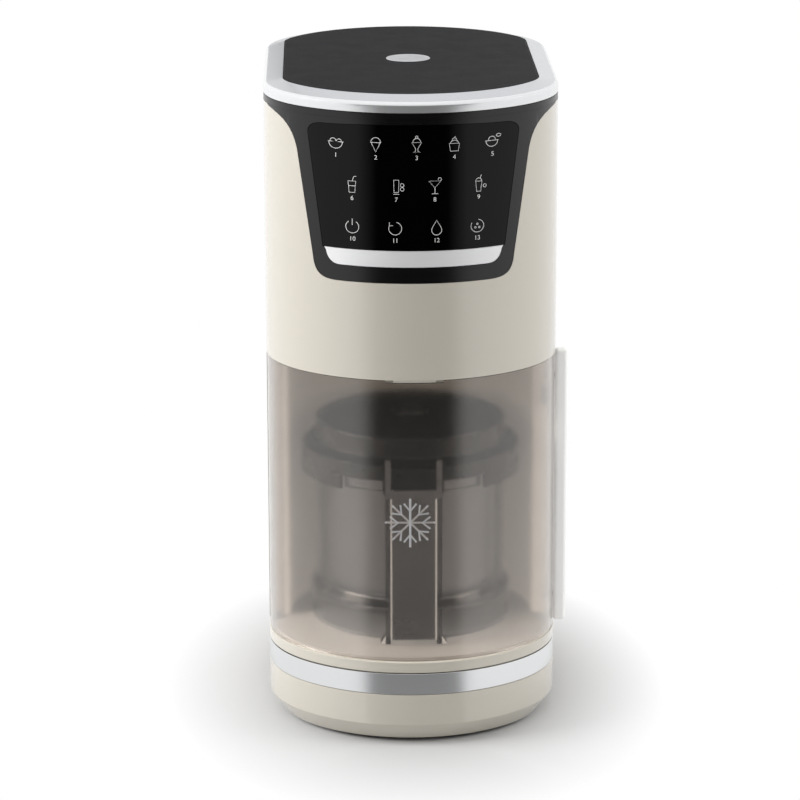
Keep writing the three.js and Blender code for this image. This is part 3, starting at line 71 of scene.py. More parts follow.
# %% [markdown]
# ## Camera
# A long lens from a little above the machine keeps its sides nearly upright. The camera stands 2.3 m
# away and looks 15 degrees down.

# %% Camera
CAMERA_PLACE = Vector((-0.06442, -2.30896, 0.81178))
CAMERA_PITCH = radians(15.0)
CAMERA_YAW = radians(1.3544)
CAMERA_ROLL = radians(-0.1316)
CAMERA_LENS = 158.66
SENSOR_WIDTH = 36
FARTHEST_SEEN = 50

bpy.ops.object.camera_add(location=CAMERA_PLACE)
camera = bpy.context.object
camera.name = "studio_camera"
camera.data.lens = CAMERA_LENS
camera.data.sensor_width = SENSOR_WIDTH
camera.data.clip_end = FARTHEST_SEEN
level_reach = cos(CAMERA_PITCH)
ahead = Vector((sin(CAMERA_YAW) * level_reach, cos(CAMERA_YAW) * level_reach, -sin(CAMERA_PITCH)))
across = Vector((cos(CAMERA_YAW), -sin(CAMERA_YAW), 0))
above = across.cross(ahead)
level_across = cos(CAMERA_ROLL) * across + sin(CAMERA_ROLL) * above
level_above = cos(CAMERA_ROLL) * above - sin(CAMERA_ROLL) * across
turn = Matrix((level_across, level_above, -ahead)).transposed().to_4x4()
camera.matrix_world = Matrix.Translation(CAMERA_PLACE) @ turn
bpy.context.scene.camera = camera
bpy.context.scene.view_settings.view_transform = "Standard"
print("camera", CAMERA_LENS, "mm at", [round(v, 3) for v in CAMERA_PLACE])

# %% [markdown]
# ## Tools for every piece
# A piece is picked, shaped in edit mode and left again many times over, so these few moves get a name.
# Faces and points are picked by where they are and which way they face, as one would click on them.

# %% Picking and editing
def only(*pieces):
    bpy.ops.object.select_all(action="DESELECT")
    for piece in pieces:
        piece.select_set(True)
    bpy.context.view_layer.objects.active = pieces[0]


def edit(piece):
    only(piece)
    bpy.ops.object.mode_set(mode="EDIT")
    bpy.ops.mesh.select_mode(type="VERT")
    bpy.ops.mesh.select_all(action="SELECT")


def leave():
    bpy.ops.object.mode_set(mode="OBJECT")


def draw_out(*way):
    """Extrudes what is selected by a way in metres."""
    bpy.ops.mesh.extrude_region_move(TRANSFORM_OT_translate={"value": way})


def tidy(piece):
    edit(piece)
    bpy.ops.mesh.remove_doubles(threshold=1e-6)
    bpy.ops.mesh.normals_make_consistent(inside=False)
    leave()
    return piece


def join(first, *others):
    only(first, *others)
    if others:
        bpy.ops.object.join()
    return first


def copy_of(piece, name, offset=(0, 0, 0)):
    only(piece)
    bpy.ops.object.duplicate()
    twin = bpy.context.object
    twin.name = name
    edit(twin)
    bpy.ops.transform.translate(value=offset)
    leave()
    return twin


# %% Modifiers that are applied at once
def modify(piece, kind, **settings):
    only(piece)
    bpy.ops.object.modifier_add(type=kind)
    modifier = piece.modifiers[-1]
    for key, value in settings.items():
        setattr(modifier, key, value)
    bpy.ops.object.modifier_apply(modifier=modifier.name)
    return piece


def combine(piece, operation, *tools):
    for tool in tools:
        modify(piece, "BOOLEAN", operation=operation, object=tool, solver="EXACT")
        bpy.data.objects.remove(tool)
    return piece


def cut(piece, *tools):
    return combine(piece, "DIFFERENCE", *tools)


def add(piece, *tools):
    return combine(piece, "UNION", *tools)


def keep(piece, *tools):
    return combine(piece, "INTERSECT", *tools)


def round_edges(piece, width, segments=3, sharper_than=40):
    return modify(
        piece,
        "BEVEL",
        width=width,
        segments=segments,
        limit_method="ANGLE",
        angle_limit=radians(sharper_than),
        miter_outer="MITER_ARC",
    )


# %% [markdown]
# ## Outlines
# Seen from above, the body is a lozenge: a wide round nose at the front and the back, softer round
# corners, and short flat sides. A nose is an arc and a corner is an arc that touches it, so one point
# is spun twice and drawn out straight, and a mirror makes the other three quarters. The plate on top
# has the same kind of plan with a flatter front.

# %% Sizes of the plans
# A plan is (half width, half depth, radius of the nose, angle that half of the nose spans).
low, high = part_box("base_housing")
MIDDLE = (low.x + high.x) / 2
HALF_WIDTH = (high.x - low.x) / 2
HALF_DEPTH = (high.y - low.y) / 2
NOSE_RADIUS = 102 * MM
NOSE_ANGLE = radians(43.5)
BODY = (HALF_WIDTH, HALF_DEPTH, NOSE_RADIUS, NOSE_ANGLE)

low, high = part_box("top_plate")
PLATE_HALF = (high.x - low.x) / 2
PLATE_NOSE = PLATE_HALF + 6 * MM
PLATE_CORNER = 40 * MM
PLATE_ANGLE = asin((PLATE_HALF - PLATE_CORNER) / (PLATE_NOSE - PLATE_CORNER))
PLATE = (PLATE_HALF, (high.y - low.y) / 2, PLATE_NOSE, PLATE_ANGLE)
NOSE_STEPS = 26
CORNER_STEPS = 16
print("body", [round(v, 4) for v in BODY], "plate", [round(v, 4) for v in PLATE])


# %% One outline at one height
def point(name, x, y, z):
    bpy.ops.mesh.primitive_plane_add(size=0.01, location=(0, 0, 0))
    piece = bpy.context.object
    piece.name = name
    bpy.ops.object.mode_set(mode="EDIT")
    bpy.ops.mesh.select_mode(type="VERT")
    bpy.ops.mesh.merge(type="CENTER")
    bpy.ops.transform.translate(value=(x, y, z))
    return piece


def outline(plan, inset, height):
    half_width, half_depth, nose, angle = plan
    nose = nose - inset
    corner = (half_width - inset - nose * sin(angle)) / (1 - sin(angle))
    nose_y = half_depth - inset - nose
    corner_x = half_width - inset - corner
    corner_y = nose_y + (nose - corner) * cos(angle)
    loop = point("outline", 0, half_depth - inset, height)
    bpy.ops.mesh.spin(steps=NOSE_STEPS, angle=angle, center=(0, nose_y, height), axis=(0, 0, 1))
    centre = (corner_x, corner_y, height)
    bpy.ops.mesh.spin(steps=CORNER_STEPS, angle=pi / 2 - angle, center=centre, axis=(0, 0, 1))
    draw_out(0, -corner_y, 0)
    leave()
    modify(loop, "MIRROR", use_axis=(True, True, False), merge_threshold=1e-5)
    edit(loop)
    bpy.ops.transform.translate(value=(MIDDLE, 0, 0))
    leave()
    return loop


# %% Skins, blocks and walls made from outlines
def skin(name, *sections):
    """Bridges each outline to the next one. A section is (plan, inset, height)."""
    bands = []
    for lower, upper in zip(sections, sections[1:]):
        band = join(outline(*lower), outline(*upper))
        edit(band)
        bpy.ops.mesh.bridge_edge_loops()
        leave()
        bands.append(band)
    whole = join(*bands)
    whole.name = name
    return tidy(whole)


def close_ends(piece):
    """Fills the open loop at the bottom and the one at the top."""
    heights = [vertex.co.z for vertex in piece.data.vertices]
    for height in (min(heights), max(heights)):
        edit(piece)
        bpy.ops.mesh.select_all(action="DESELECT")
        leave()
        for vertex in piece.data.vertices:
            vertex.select = abs(vertex.co.z - height) < 1e-6
        bpy.ops.object.mode_set(mode="EDIT")
        bpy.ops.mesh.edge_face_add()
        leave()
    return tidy(piece)


def block(name, plan, inset, bottom, top):
    return close_ends(skin(name, (plan, inset, bottom), (plan, inset, top)))


def wall(name, outer, inner, bottom, top):
    """An upright wall that follows the body between two insets."""
    return skin(
        name,
        (BODY, outer, bottom),
        (BODY, outer, top),
        (BODY, inner, top),
        (BODY, inner, bottom),
        (BODY, outer, bottom),
    )


# %% Straight blocks, and limits that lie well outside the machine
ASIDE = 0.1
AHEAD = -0.2
BEHIND = 0.16
OVERHEAD = 0.5


def box(name, x0, x1, y0, y1, z0, z1):
    """A straight block between two places each way; x counts from the middle of the machine."""
    centre = (MIDDLE + (x0 + x1) / 2, (y0 + y1) / 2, (z0 + z1) / 2)
    bpy.ops.mesh.primitive_cube_add(size=1, location=centre, scale=(x1 - x0, y1 - y0, z1 - z0))
    piece = bpy.context.object
    piece.name = name
    bpy.ops.object.transform_apply(location=True, rotation=True, scale=True)
    return piece


# %% [markdown]
# ## Turned pieces and pieces cut from a drawing
# Bowls, lids and rings are profiles spun about an upright axis, like pottery. Other pieces are a
# drawing that is pushed through the machine. Both start as a line drawn point by point, and where a
# corner has a radius the line goes round it in an arc.

# %% Lines with rounded corners
def rounded(corners, closed=True, steps=5):
    """Corners are (across, up) or (across, up, radius). Returns points with arcs at the radii."""
    points = []
    count = len(corners)
    for i, corner in enumerate(corners):
        here = Vector(corner[:2])
        radius = corner[2] if len(corner) > 2 else 0
        if radius == 0 or (not closed and i in (0, count - 1)):
            points.append(here)
            continue
        back = (Vector(corners[i - 1][:2]) - here).normalized()
        on = (Vector(corners[(i + 1) % count][:2]) - here).normalized()
        half = back.angle(on) / 2
        centre = here + (back + on).normalized() * (radius / sin(half))
        start = here + back * (radius / tan(half)) - centre
        sweep = start.angle_signed(here + on * (radius / tan(half)) - centre)
        for step in range(steps + 1):
            points.append(centre + Matrix.Rotation(-sweep * step / steps, 2) @ start)
    return points


def trace(name, points, closed=True):
    """Draws a line through points in space and leaves it selected in edit mode."""
    path = [*points, points[0]] if closed else points
    piece = point(name, *path[0])
    for before, after in zip(path, path[1:]):
        draw_out(*(Vector(after) - Vector(before)))
    bpy.ops.mesh.select_all(action="SELECT")
    bpy.ops.mesh.remove_doubles(threshold=1e-7)
    return piece


def turned(name, corners, x=0, y=0, steps=96):
    """Spins a profile of (radius, height, corner radius), left open where it begins on the axis."""
    closed = corners[0][0] > 0
    profile = [(MIDDLE + x + p.x, y, p.y) for p in rounded(corners, closed)]
    piece = trace(name, profile, closed)
    bpy.ops.mesh.spin(steps=steps, angle=2 * pi, center=(MIDDLE + x, y, 0), axis=(0, 0, 1))
    leave()
    return tidy(piece)


# %% [markdown]
# ## Putting a piece on the machine
# A finished piece stands for a packed one, rides on the same body and takes its finish from the same
# slot of the record. It is measured first, and its size, its volume and whether it is closed are
# printed. Its shading is smooth up to an angle, and weighted normals keep broad faces flat beside
# rounded edges.

# %% Install a piece
slot_of = {part["node"]: part["material_slot"] for part in frame["record"]["subparts"]}
body_of = {name: piece["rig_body"] for name, piece in frame["nodes"].items()}
finishes = {}
made = []


def smooth(piece, angle=32):
    only(piece)
    bpy.ops.object.shade_smooth_by_angle(angle=radians(angle))


def measure(piece):
    mesh = bmesh.new()
    mesh.from_mesh(piece.data)
    closed = all(edge.is_manifold for edge in mesh.edges)
    volume = mesh.calc_volume(signed=True) * 1e6
    mesh.free()
    size = [round(v * 1000, 1) for v in piece.dimensions]
    print(f"{piece.name}: {size} mm, {volume:.1f} cm3, {len(piece.data.polygons)} faces, closed {closed}")


def install(piece, *nodes, finish=None, angle=32):
    smooth(piece, angle)
    modify(piece, "WEIGHTED_NORMAL", mode="FACE_AREA", weight=60, keep_sharp=True)
    measure(piece)
    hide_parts(*nodes)
    dress(piece, nodes[0], finish)


def refinish(piece, material, test):
    """Gives the faces that pass a test a finish of their own."""
    piece.data.materials.append(material)
    for face in piece.data.polygons:
        face.material_index = int(test(face))
    print(sum(face.material_index for face in piece.data.polygons), "faces with", material.name)


def dress(piece, node, finish=None):
    """The piece rides and is finished as that node is."""
    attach(piece, body_of[node])
    piece.data.materials.clear()
    piece.data.materials.append(finish or finishes[slot_of[node]])
    made.append(piece)


print(len(slot_of), "nodes have a slot")

# %% [markdown]
# ## Finishes
# A colour is written as it looks in neutral light, from 0 to 255, and turned into the linear light
# that a shader works in. No real surface is quite even, so each finish gets fine noise in its
# roughness and its relief: a soft orange peel on moulded plastic, long scratches on brushed metal.

# %% Nodes that every finish shares
def light(*colour):
    """Turns a colour as it looks, three numbers to 255, into linear light."""
    linear = [v / 255 / 12.92 if v <= 10 else ((v / 255 + 0.055) / 1.055) ** 2.4 for v in colour]
    return (*linear, 1)


def shader_of(material):
    return material.node_tree.nodes["Principled BSDF"]


def finish(name, colour, roughness, metal=0.0, **sockets):
    material = bpy.data.materials.new(name)
    material.use_nodes = True
    inputs = shader_of(material).inputs
    inputs["Base Color"].default_value = light(*colour)
    inputs["Roughness"].default_value = roughness
    inputs["Metallic"].default_value = metal
    for socket, value in sockets.items():
        inputs[socket.replace("_", " ")].default_value = value
    return material


def add_node(material, kind, **settings):
    node = material.node_tree.nodes.new(kind)
    for key, value in settings.items():
        if key in node.inputs:
            node.inputs[key].default_value = value
        else:
            setattr(node, key, value)
    return node


def link(material, source, target):
    material.node_tree.links.new(source, target)


def show(material, source):
    """Makes a shader what the eye gets from the surface."""
    link(material, source, material.node_tree.nodes["Material Output"].inputs["Surface"])


def own_space(material, stretch=(1, 1, 1), shift=(0, 0, 0)):
    """Places in the piece's own space."""
    place = add_node(material, "ShaderNodeTexCoord")
    mapping = add_node(material, "ShaderNodeMapping", Scale=stretch, Location=shift)
    link(material, place.outputs["Object"], mapping.inputs["Vector"])
    return mapping.outputs["Vector"]


def along(material, axis):
    """How far a place lies along one axis, in metres."""
    split = add_node(material, "ShaderNodeSeparateXYZ")
    link(material, own_space(material), split.inputs[0])
    return split.outputs[axis]


def noise(material, scale, detail=2.0, stretch=(1, 1, 1)):
    """Noise over the piece's own space; a small stretch value makes long streaks that way."""
    texture = add_node(material, "ShaderNodeTexNoise", Scale=scale, Detail=detail)
    link(material, own_space(material, stretch), texture.inputs["Vector"])
    return texture.outputs["Fac"]


def spread(material, source, low, high, start=0.3, end=0.7):
    """Turns a value that runs from start to end, as noise does, into one from low to high."""
    ramp = add_node(material, "ShaderNodeMapRange")
    ramp.inputs["From Min"].default_value = start
    ramp.inputs["From Max"].default_value = end
    ramp.inputs["To Min"].default_value = low
    ramp.inputs["To Max"].default_value = high
    link(material, source, ramp.inputs["Value"])
    return ramp.outputs["Result"]


def uneven(material, scale, low, high, stretch=(1, 1, 1)):
    """Lets the roughness drift from low to high."""
    drift = spread(material, noise(material, scale, 3, stretch), low, high)
    link(material, drift, shader_of(material).inputs["Roughness"])


def relief(material, scale, height, stretch=(1, 1, 1)):
    """Raises the surface by up to a height in metres."""
    bump = add_node(material, "ShaderNodeBump", Strength=1.0, Distance=height)
    link(material, noise(material, scale, 2, stretch), bump.inputs["Height"])
    link(material, bump.outputs["Normal"], shader_of(material).inputs["Normal"])


def tinted(material, scale, colour_a, colour_b, stretch=(1, 1, 1)):
    """Lets the colour drift between two close shades."""
    ramp = add_node(material, "ShaderNodeValToRGB")
    ramp.color_ramp.elements[0].position = 0.35
    ramp.color_ramp.elements[0].color = light(*colour_a)
    ramp.color_ramp.elements[1].position = 0.65
    ramp.color_ramp.elements[1].color = light(*colour_b)
    link(material, noise(material, scale, 3, stretch), ramp.inputs["Fac"])
    link(material, ramp.outputs["Color"], shader_of(material).inputs["Base Color"])


def drifting(name, colour, low, high, grain, tint=None, metal=0.0, stretch=(1, 1, 1), **sockets):
    """A finish of drifting roughness and, with a tint of (scale, darker, lighter), drifting colour."""
    material = finish(name, colour, (low + high) / 2, metal, **sockets)
    uneven(material, grain, low, high, stretch)
    if tint:
        scale, darker, lighter = tint
        tinted(material, scale, [v - darker for v in colour], [v + lighter for v in colour])
    return material


# %% Moulded plastics
def plastic(slot, colour, drift, low, high, peel=0.00001, **sockets):
    """Moulded plastic whose colour drifts by some shades, with roughness from low to high."""
    material = drifting(slot, colour, low, high, 60, (9, drift, 0), **sockets)
    if peel:
        relief(material, 650, peel)
    finishes[slot] = material
    return material


plastic("cream_shell", (212, 206, 193), 0.6, 0.25, 0.26, 0, Coat_Weight=1.0, Coat_Roughness=0.08)
plastic("dark_plastic", (62, 62, 64), 4, 0.5, 0.62, 0.00003)
plastic("bezel_black", (12, 12, 13), 2, 0.22, 0.27, 0.000003, IOR=1.5)
plastic("lid_black", (16, 16, 16), 2, 0.26, 0.32, 0.00001)
plastic("collar_plastic", (44, 44, 45), 4, 0.5, 0.6)
plastic("foot_rubber", (28, 28, 28), 4, 0.75, 0.9, 0.00005)
plastic("seal_rubber", (96, 96, 98), 5, 0.7, 0.85, 0.00004)
plastic("circuit_board", (24, 82, 56), 10, 0.4, 0.6)
print(len(finishes), "plastics and rubbers")


# %% Metals
def metal(slot, colour, low, high, scale, stretch, height=0.000004):
    """Bare metal, brushed the way that stretch is small, with roughness from low to high."""
    material = drifting(slot, colour, low, high, scale, None, 1.0, stretch)
    if height:
        relief(material, scale, height, stretch)
    finishes[slot] = material


ROUND_THE_BODY = (0.02, 0.02, 1)
ALONG_Y = (1, 0.012, 1)
metal("silver_trim", (226, 227, 228), 0.24, 0.26, 1800, ROUND_THE_BODY, 0)
metal("screw_steel", (176, 176, 178), 0.28, 0.42, 900, (1, 1, 1))
metal("blade_steel", (190, 191, 193), 0.22, 0.34, 1500, (0.05, 1, 1))
metal("frame_steel", (168, 170, 173), 0.34, 0.5, 700, (0.05, 1, 1))
metal("bush_brass", (196, 158, 92), 0.3, 0.42, 900, (1, 1, 0.1))
metal("gear_steel", (160, 162, 166), 0.3, 0.46, 900, (1, 1, 0.05))
metal("motor_can", (150, 152, 154), 0.34, 0.46, 700, (1, 1, 0.05))
metal("rotor_metal", (188, 150, 88), 0.35, 0.5, 700, (1, 1, 0.05))
metal("carriage_metal", (158, 160, 163), 0.38, 0.52, 500, (1, 1, 1))
brushed = plastic("top_plate_grey", (22, 22, 24), 1, 0.4, 0.44, 0, Specular_IOR_Level=0.04)
tinted(brushed, 1500, (19, 19, 21), (25, 25, 27), ALONG_Y)
metal("pot_metal", (226, 226, 227), 0.32, 0.4, 900, (1, 1, 0.1), 0.000001)

# %% Touch glass
finishes["touch_glass"] = drifting("touch_glass", (2, 2, 2), 0.09, 0.11, 25, IOR=1.28)


# %% [markdown]
# ### See-through plastics
# The door and the bowl bend light as real plastic does. A rough surface scatters it a little, so what
# stands well behind the smoked door grows soft while what stands close stays clear. A shadow ray
# can't follow a bent path, so for shadow rays the plastic is a plain tinted film. The door has a hazy
# coat as well, which spreads what it mirrors.

# %% Smoked door and clear bowl
def share(material, amount, other):
    """Shows another shader instead of the finish, by an amount from 0 to 1."""
    choice = add_node(material, "ShaderNodeMixShader")
    link(material, amount, choice.inputs[0])
    link(material, shader_of(material).outputs[0], choice.inputs[1])
    link(material, other.outputs[0], choice.inputs[2])
    show(material, choice.outputs[0])


def see_through(slot, colour, film, low, high, **sockets):
    material = drifting(slot, colour, low, high, 40, (7, 3, 0), **sockets)
    path = add_node(material, "ShaderNodeLightPath")
    clear_film = add_node(material, "ShaderNodeBsdfTransparent", Color=light(*film))
    share(material, path.outputs["Is Shadow Ray"], clear_film)
    finishes[slot] = material


SMOKE = (228, 220, 212)
SMOKE_FILM = (252, 251, 250)
BOWL_TINT = (202, 203, 205)
BOWL_FILM = (240, 241, 242)
haze = {"Coat_Weight": 0.4, "Coat_Roughness": 0.2, "Coat_IOR": 1.8}
see_through("smoked_door", SMOKE, SMOKE_FILM, 0.105, 0.125, Transmission_Weight=1.0, IOR=1.55, **haze)
see_through("clear_bowl", BOWL_TINT, BOWL_FILM, 0.03, 0.06, Transmission_Weight=1.0, IOR=1.46)
print(sorted(finishes))

# %% [markdown]
# ## Base
# The foot of the machine is a tub whose lower edge is bevelled inwards, so that it seems to float. A
# satin band lies in a groove round it, and a slab closes it on top. All of them follow the body's
# plan, so each is a stack of outlines that is bridged into a skin. Two round cuts in the back of the
# tub, one wide and shallow, one narrow and deep, make the seat for the cord's bushing.

# %% Levels of the base
def levels(node):
    """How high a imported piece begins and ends."""
    low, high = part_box(node)
    return low.z, high.z


BASE_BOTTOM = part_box("base_housing")[0].z
BAND_BOTTOM, BAND_TOP = levels("base_band")
WALL = 3 * MM
SEAM = 0.3 * MM
DECK_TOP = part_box("column_housing")[0].z - SEAM
DECK_BOTTOM = BAND_TOP + 2 * SEAM
BEVEL = 8 * MM
BEVEL_TOP = BASE_BOTTOM + 11.4 * MM
GROOVE = 1.8 * MM
print("band from", round(BAND_BOTTOM, 4), "to", round(BAND_TOP, 4))

# %% Tub
tub = skin(
    "base_tub",
    (BODY, BEVEL, BASE_BOTTOM),
    (BODY, 0, BEVEL_TOP),
    (BODY, 0, BAND_BOTTOM - SEAM),
    (BODY, GROOVE, BAND_BOTTOM - SEAM),
    (BODY, GROOVE, BAND_TOP + SEAM),
    (BODY, GROOVE + WALL, BAND_TOP + SEAM),
    (BODY, GROOVE + WALL, BEVEL_TOP),
    (BODY, BEVEL + WALL, BASE_BOTTOM + MM),
    (BODY, BEVEL + WALL, BASE_BOTTOM),
    (BODY, BEVEL, BASE_BOTTOM),
)
round_edges(tub, 0.5 * MM, 3, 25)


def cord_opening(grow, depth):
    """A round tool as wide as the cord's bushing, sunk to a depth in the back of the base."""
    low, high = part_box("cord_gland")
    centre = (low + high) / 2
    bpy.ops.mesh.primitive_cylinder_add(
        vertices=64,
        radius=(high.x - low.x) / 2 + grow,
        depth=2 * depth,
        location=(centre.x, HALF_DEPTH, centre.z),
        rotation=(pi / 2, 0, 0),
    )
    bpy.ops.object.transform_apply(location=True, rotation=True, scale=True)
    return bpy.context.object


cut(tub, cord_opening(SEAM, 2 * MM), cord_opening(-1.6 * MM, 9 * MM))
install(tub, "base_housing")

# %% Band and deck
band = wall("base_band_satin", 0, GROOVE - SEAM, BAND_BOTTOM, BAND_TOP)
round_edges(band, 0.35 * MM)
install(band, "base_band")

deck = block("base_deck_slab", BODY, 0, DECK_BOTTOM, DECK_TOP)
round_edges(deck, 0.7 * MM, 3, 60)
install(deck, "base_deck")

# %% [markdown]
# ## Column and head
# Behind the bay stands a shell as tall as the door. The head above it is a second shell of the same
# plan, with a window at the front for the control panel. Each is a wall drawn round the body and then
# sawn to its shape.

# %% Levels of the column and the head
COLUMN_BOTTOM, COLUMN_TOP = levels("column_housing")
COLUMN_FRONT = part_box("column_housing")[0].y
HEAD_BOTTOM = COLUMN_TOP + SEAM
HEAD_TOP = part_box("head_housing")[1].z
COVER_LOW, COVER_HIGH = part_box("rear_cover")
COVER_HALF = (COVER_HIGH.x - COVER_LOW.x) / 2
PANEL_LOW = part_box("control_bezel")[0].z
GASKET_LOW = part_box("neck_gasket")[0].z
print("head from", round(HEAD_BOTTOM, 4), "to", round(HEAD_TOP, 4))


# %% Window for the rear cover, with the frame that the cover sits on
WINDOW_FRONT = 60 * MM
BEYOND = 10 * MM


def rear_window():
    half = COVER_HALF + SEAM
    bottom = COVER_LOW.z - SEAM
    top = COVER_HIGH.z + SEAM
    return box("window", -half, half, WINDOW_FRONT, HALF_DEPTH + BEYOND, bottom, top)


def rear_frame(bottom, top):
    frame_wall = wall("frame", WALL - 0.1 * MM, WALL + 2 * MM, bottom, top)
    lip = 6 * MM
    half = COVER_HALF + lip
    reach = box("reach", -half, half, WINDOW_FRONT, HALF_DEPTH, COVER_LOW.z - lip, COVER_HIGH.z + lip)
    half = COVER_HALF - lip
    low_edge = COVER_LOW.z + 2 * lip
    high_edge = COVER_HIGH.z - 2 * lip
    opening = box("opening", -half, half, WINDOW_FRONT, HALF_DEPTH, low_edge, high_edge)
    return cut(keep(frame_wall, reach), opening)


# %% Column
column = wall("column_shell", 0, WALL, COLUMN_BOTTOM, COLUMN_TOP)
keep(column, box("behind", -ASIDE, ASIDE, COLUMN_FRONT, BEHIND, 0, OVERHEAD))
cut(column, rear_window())
add(column, rear_frame(COLUMN_BOTTOM, COLUMN_TOP))
round_edges(column, 0.4 * MM)
install(column, "column_housing")


# %% [markdown]
# ## Control panel
# A black bezel holds the touch glass and, under it, a pale bar that is left plain. The panel is drawn
# from the front: straight sides that lean outwards and then sweep out to the rim in a curve. Half of
# it is enough, because a mirror makes the other half. The drawing is pushed through the front wall,
# and what both share is the panel, so its face follows the nose.

# %% Drawings of the panel, the glass and the bar
def curve(start, first, second, end, steps=12):
    points = interpolate_bezier(*(Vector((*p, 0)) for p in (start, first, second, end)), steps + 1)
    return [(p.x, p.y) for p in points]


def soft(start, control, end, steps=8):
    first = [s + (c - s) * 2 / 3 for s, c in zip(start, control)]
    second = [e + (c - e) * 2 / 3 for e, c in zip(end, control)]
    return curve(start, first, second, end, steps)


def panel_drawing(grow=0.0):
    bottom = PANEL_LOW - grow
    foot = 62.6 * MM + grow
    side = 73 * MM + grow
    shoulder = GASKET_LOW - 23.6 * MM
    edge = HALF_WIDTH - WALL - SEAM + grow
    top = GASKET_LOW
    corner = 15 * MM
    turn_in = (foot - 3 * MM, bottom), (foot, bottom + 4 * MM)
    sweep_out = (side + 3 * MM, shoulder + corner), (side + 10 * MM, top - 4 * MM)
    return [
        (0, bottom),
        *curve((foot - corner, bottom), *turn_in, (foot + MM, bottom + corner)),
        *curve((side, shoulder), *sweep_out, (edge, top - MM)),
        (edge, top + MM),
        (0, top + MM),
    ]


def glass_drawing(grow=0.0):
    bottom = GLASS_LOW - grow
    top = GLASS_TOP + grow
    side = 66.3 * MM + grow
    foot = 57.4 * MM + grow
    corner = 8 * MM
    return [
        (0, bottom),
        (foot, bottom),
        *soft((side, top - corner), (side, top - 2 * MM), (side - corner, top - 1.2 * MM)),
        *soft((side / 2, top - 0.3 * MM), (side / 4, top), (0, top), 4),
    ]


def bar_drawing(grow=0.0):
    bottom = BAR_LOW - grow
    top = BAR_TOP + grow
    half = 56.5 * MM + grow
    corner = 10 * MM
    return [
        (0, bottom),
        *soft((half - corner, bottom), (half - 2.5 * MM, bottom), (half - MM, top - 2 * MM)),
        (half, top),
        (0, top),
    ]


GLASS_LOW, GLASS_TOP = levels("touch_glass")
BAR_LOW, BAR_TOP = levels("nameplate_bar")
print("panel", len(panel_drawing()), "glass", len(glass_drawing()), "bar", len(bar_drawing()))


# %% Pushing a drawing through the front wall
PUSH_FROM = -HALF_DEPTH - BEYOND
PUSH_TO = -70 * MM


def pushed(name, drawing):
    piece = trace(name, [(x, PUSH_FROM, z) for x, z in drawing], closed=False)
    leave()
    modify(piece, "MIRROR", use_axis=(True, False, False), merge_threshold=1e-6)
    edit(piece)
    bpy.ops.transform.translate(value=(MIDDLE, 0, 0))
    bpy.ops.mesh.edge_face_add()
    draw_out(0, PUSH_TO - PUSH_FROM, 0)
    leave()
    return tidy(piece)


# %% Head with the panel's window and the door's catch
head = wall("head_shell", 0, WALL, HEAD_BOTTOM, HEAD_TOP)
cut(head, pushed("panel_window", panel_drawing(SEAM)), rear_window())
add(head, rear_frame(HEAD_BOTTOM, HEAD_TOP))
CATCH_HALF = 13.5 * MM
catch = wall("catch", 0.6 * MM, WALL, HEAD_BOTTOM - 1.5 * MM, HEAD_BOTTOM + MM)
keep(catch, box("catch_room", -CATCH_HALF, CATCH_HALF, AHEAD, 0, 0, OVERHEAD))
add(head, catch)
round_edges(head, 0.4 * MM)
install(head, "head_housing")

# %% Panel
panel = keep(wall("control_panel", 0, WALL, HEAD_BOTTOM, GASKET_LOW + WALL), pushed("shape", panel_drawing()))
round_edges(panel, 0.9 * MM, 4, 50)
cut(panel, box("above_panel", -ASIDE, ASIDE, AHEAD, 0, GASKET_LOW - 0.04 * MM, OVERHEAD))
POCKET_DEPTH = 1.8 * MM
pocket = wall("pocket", -MM, POCKET_DEPTH, HEAD_BOTTOM, GASKET_LOW)
pocket_shape = add(pushed("glass_room", glass_drawing(SEAM)), pushed("bar_room", bar_drawing(SEAM)))
cut(panel, keep(pocket, pocket_shape))
install(panel, "control_bezel")

# %% Glass and bar
PANE_BACK = 1.5 * MM
pane = wall("touch_pane", 0.2 * MM, PANE_BACK, HEAD_BOTTOM, GASKET_LOW)
keep(pane, pushed("shape", glass_drawing()))
round_edges(pane, 0.35 * MM, 3, 50)
install(pane, "touch_glass")

bar = wall("plain_bar", 0.1 * MM, PANE_BACK, HEAD_BOTTOM, GASKET_LOW)
keep(bar, pushed("shape", bar_drawing()))
round_edges(bar, 0.35 * MM, 3, 50)
bar_satin = drifting("bar_satin", (246, 246, 247), 0.38, 0.42, 900, None, 0.2, ROUND_THE_BODY)
install(bar, "nameplate_bar", finish=bar_satin)

# %% [markdown]
# ## Rear cover
# A panel at the back lets the motor's warm air out through two groups of slots. One slot is sawn
# after another, each a bar with round ends, and two short bars keep a web in the middle.

# %% Rear cover and its slots
SLOT_ROWS = 4
SLOT_PITCH = 11 * MM
SLOT_HALF = 2.5 * MM
SLOT_FRONT = 0.1
cover = wall("rear_panel", 0, 2.6 * MM, COVER_LOW.z, COVER_HIGH.z)
keep(cover, box("cover_room", -COVER_HALF, COVER_HALF, WINDOW_FRONT, BEHIND, 0, OVERHEAD))
for top in (COVER_HIGH.z - 29.7 * MM, COVER_LOW.z + 83.7 * MM):
    for row in range(SLOT_ROWS):
        middle = top - row * SLOT_PITCH
        for left, right in ((-34 * MM, -2 * MM), (2 * MM, 34 * MM)):
            slot = box("slot", left, right, SLOT_FRONT, BEHIND, middle - SLOT_HALF, middle + SLOT_HALF)
            modify(slot, "BEVEL", width=2.4 * MM, segments=5, limit_method="ANGLE", angle_limit=radians(40))
            cut(cover, slot)
round_edges(cover, 0.3 * MM, 2)
install(cover, "rear_cover")
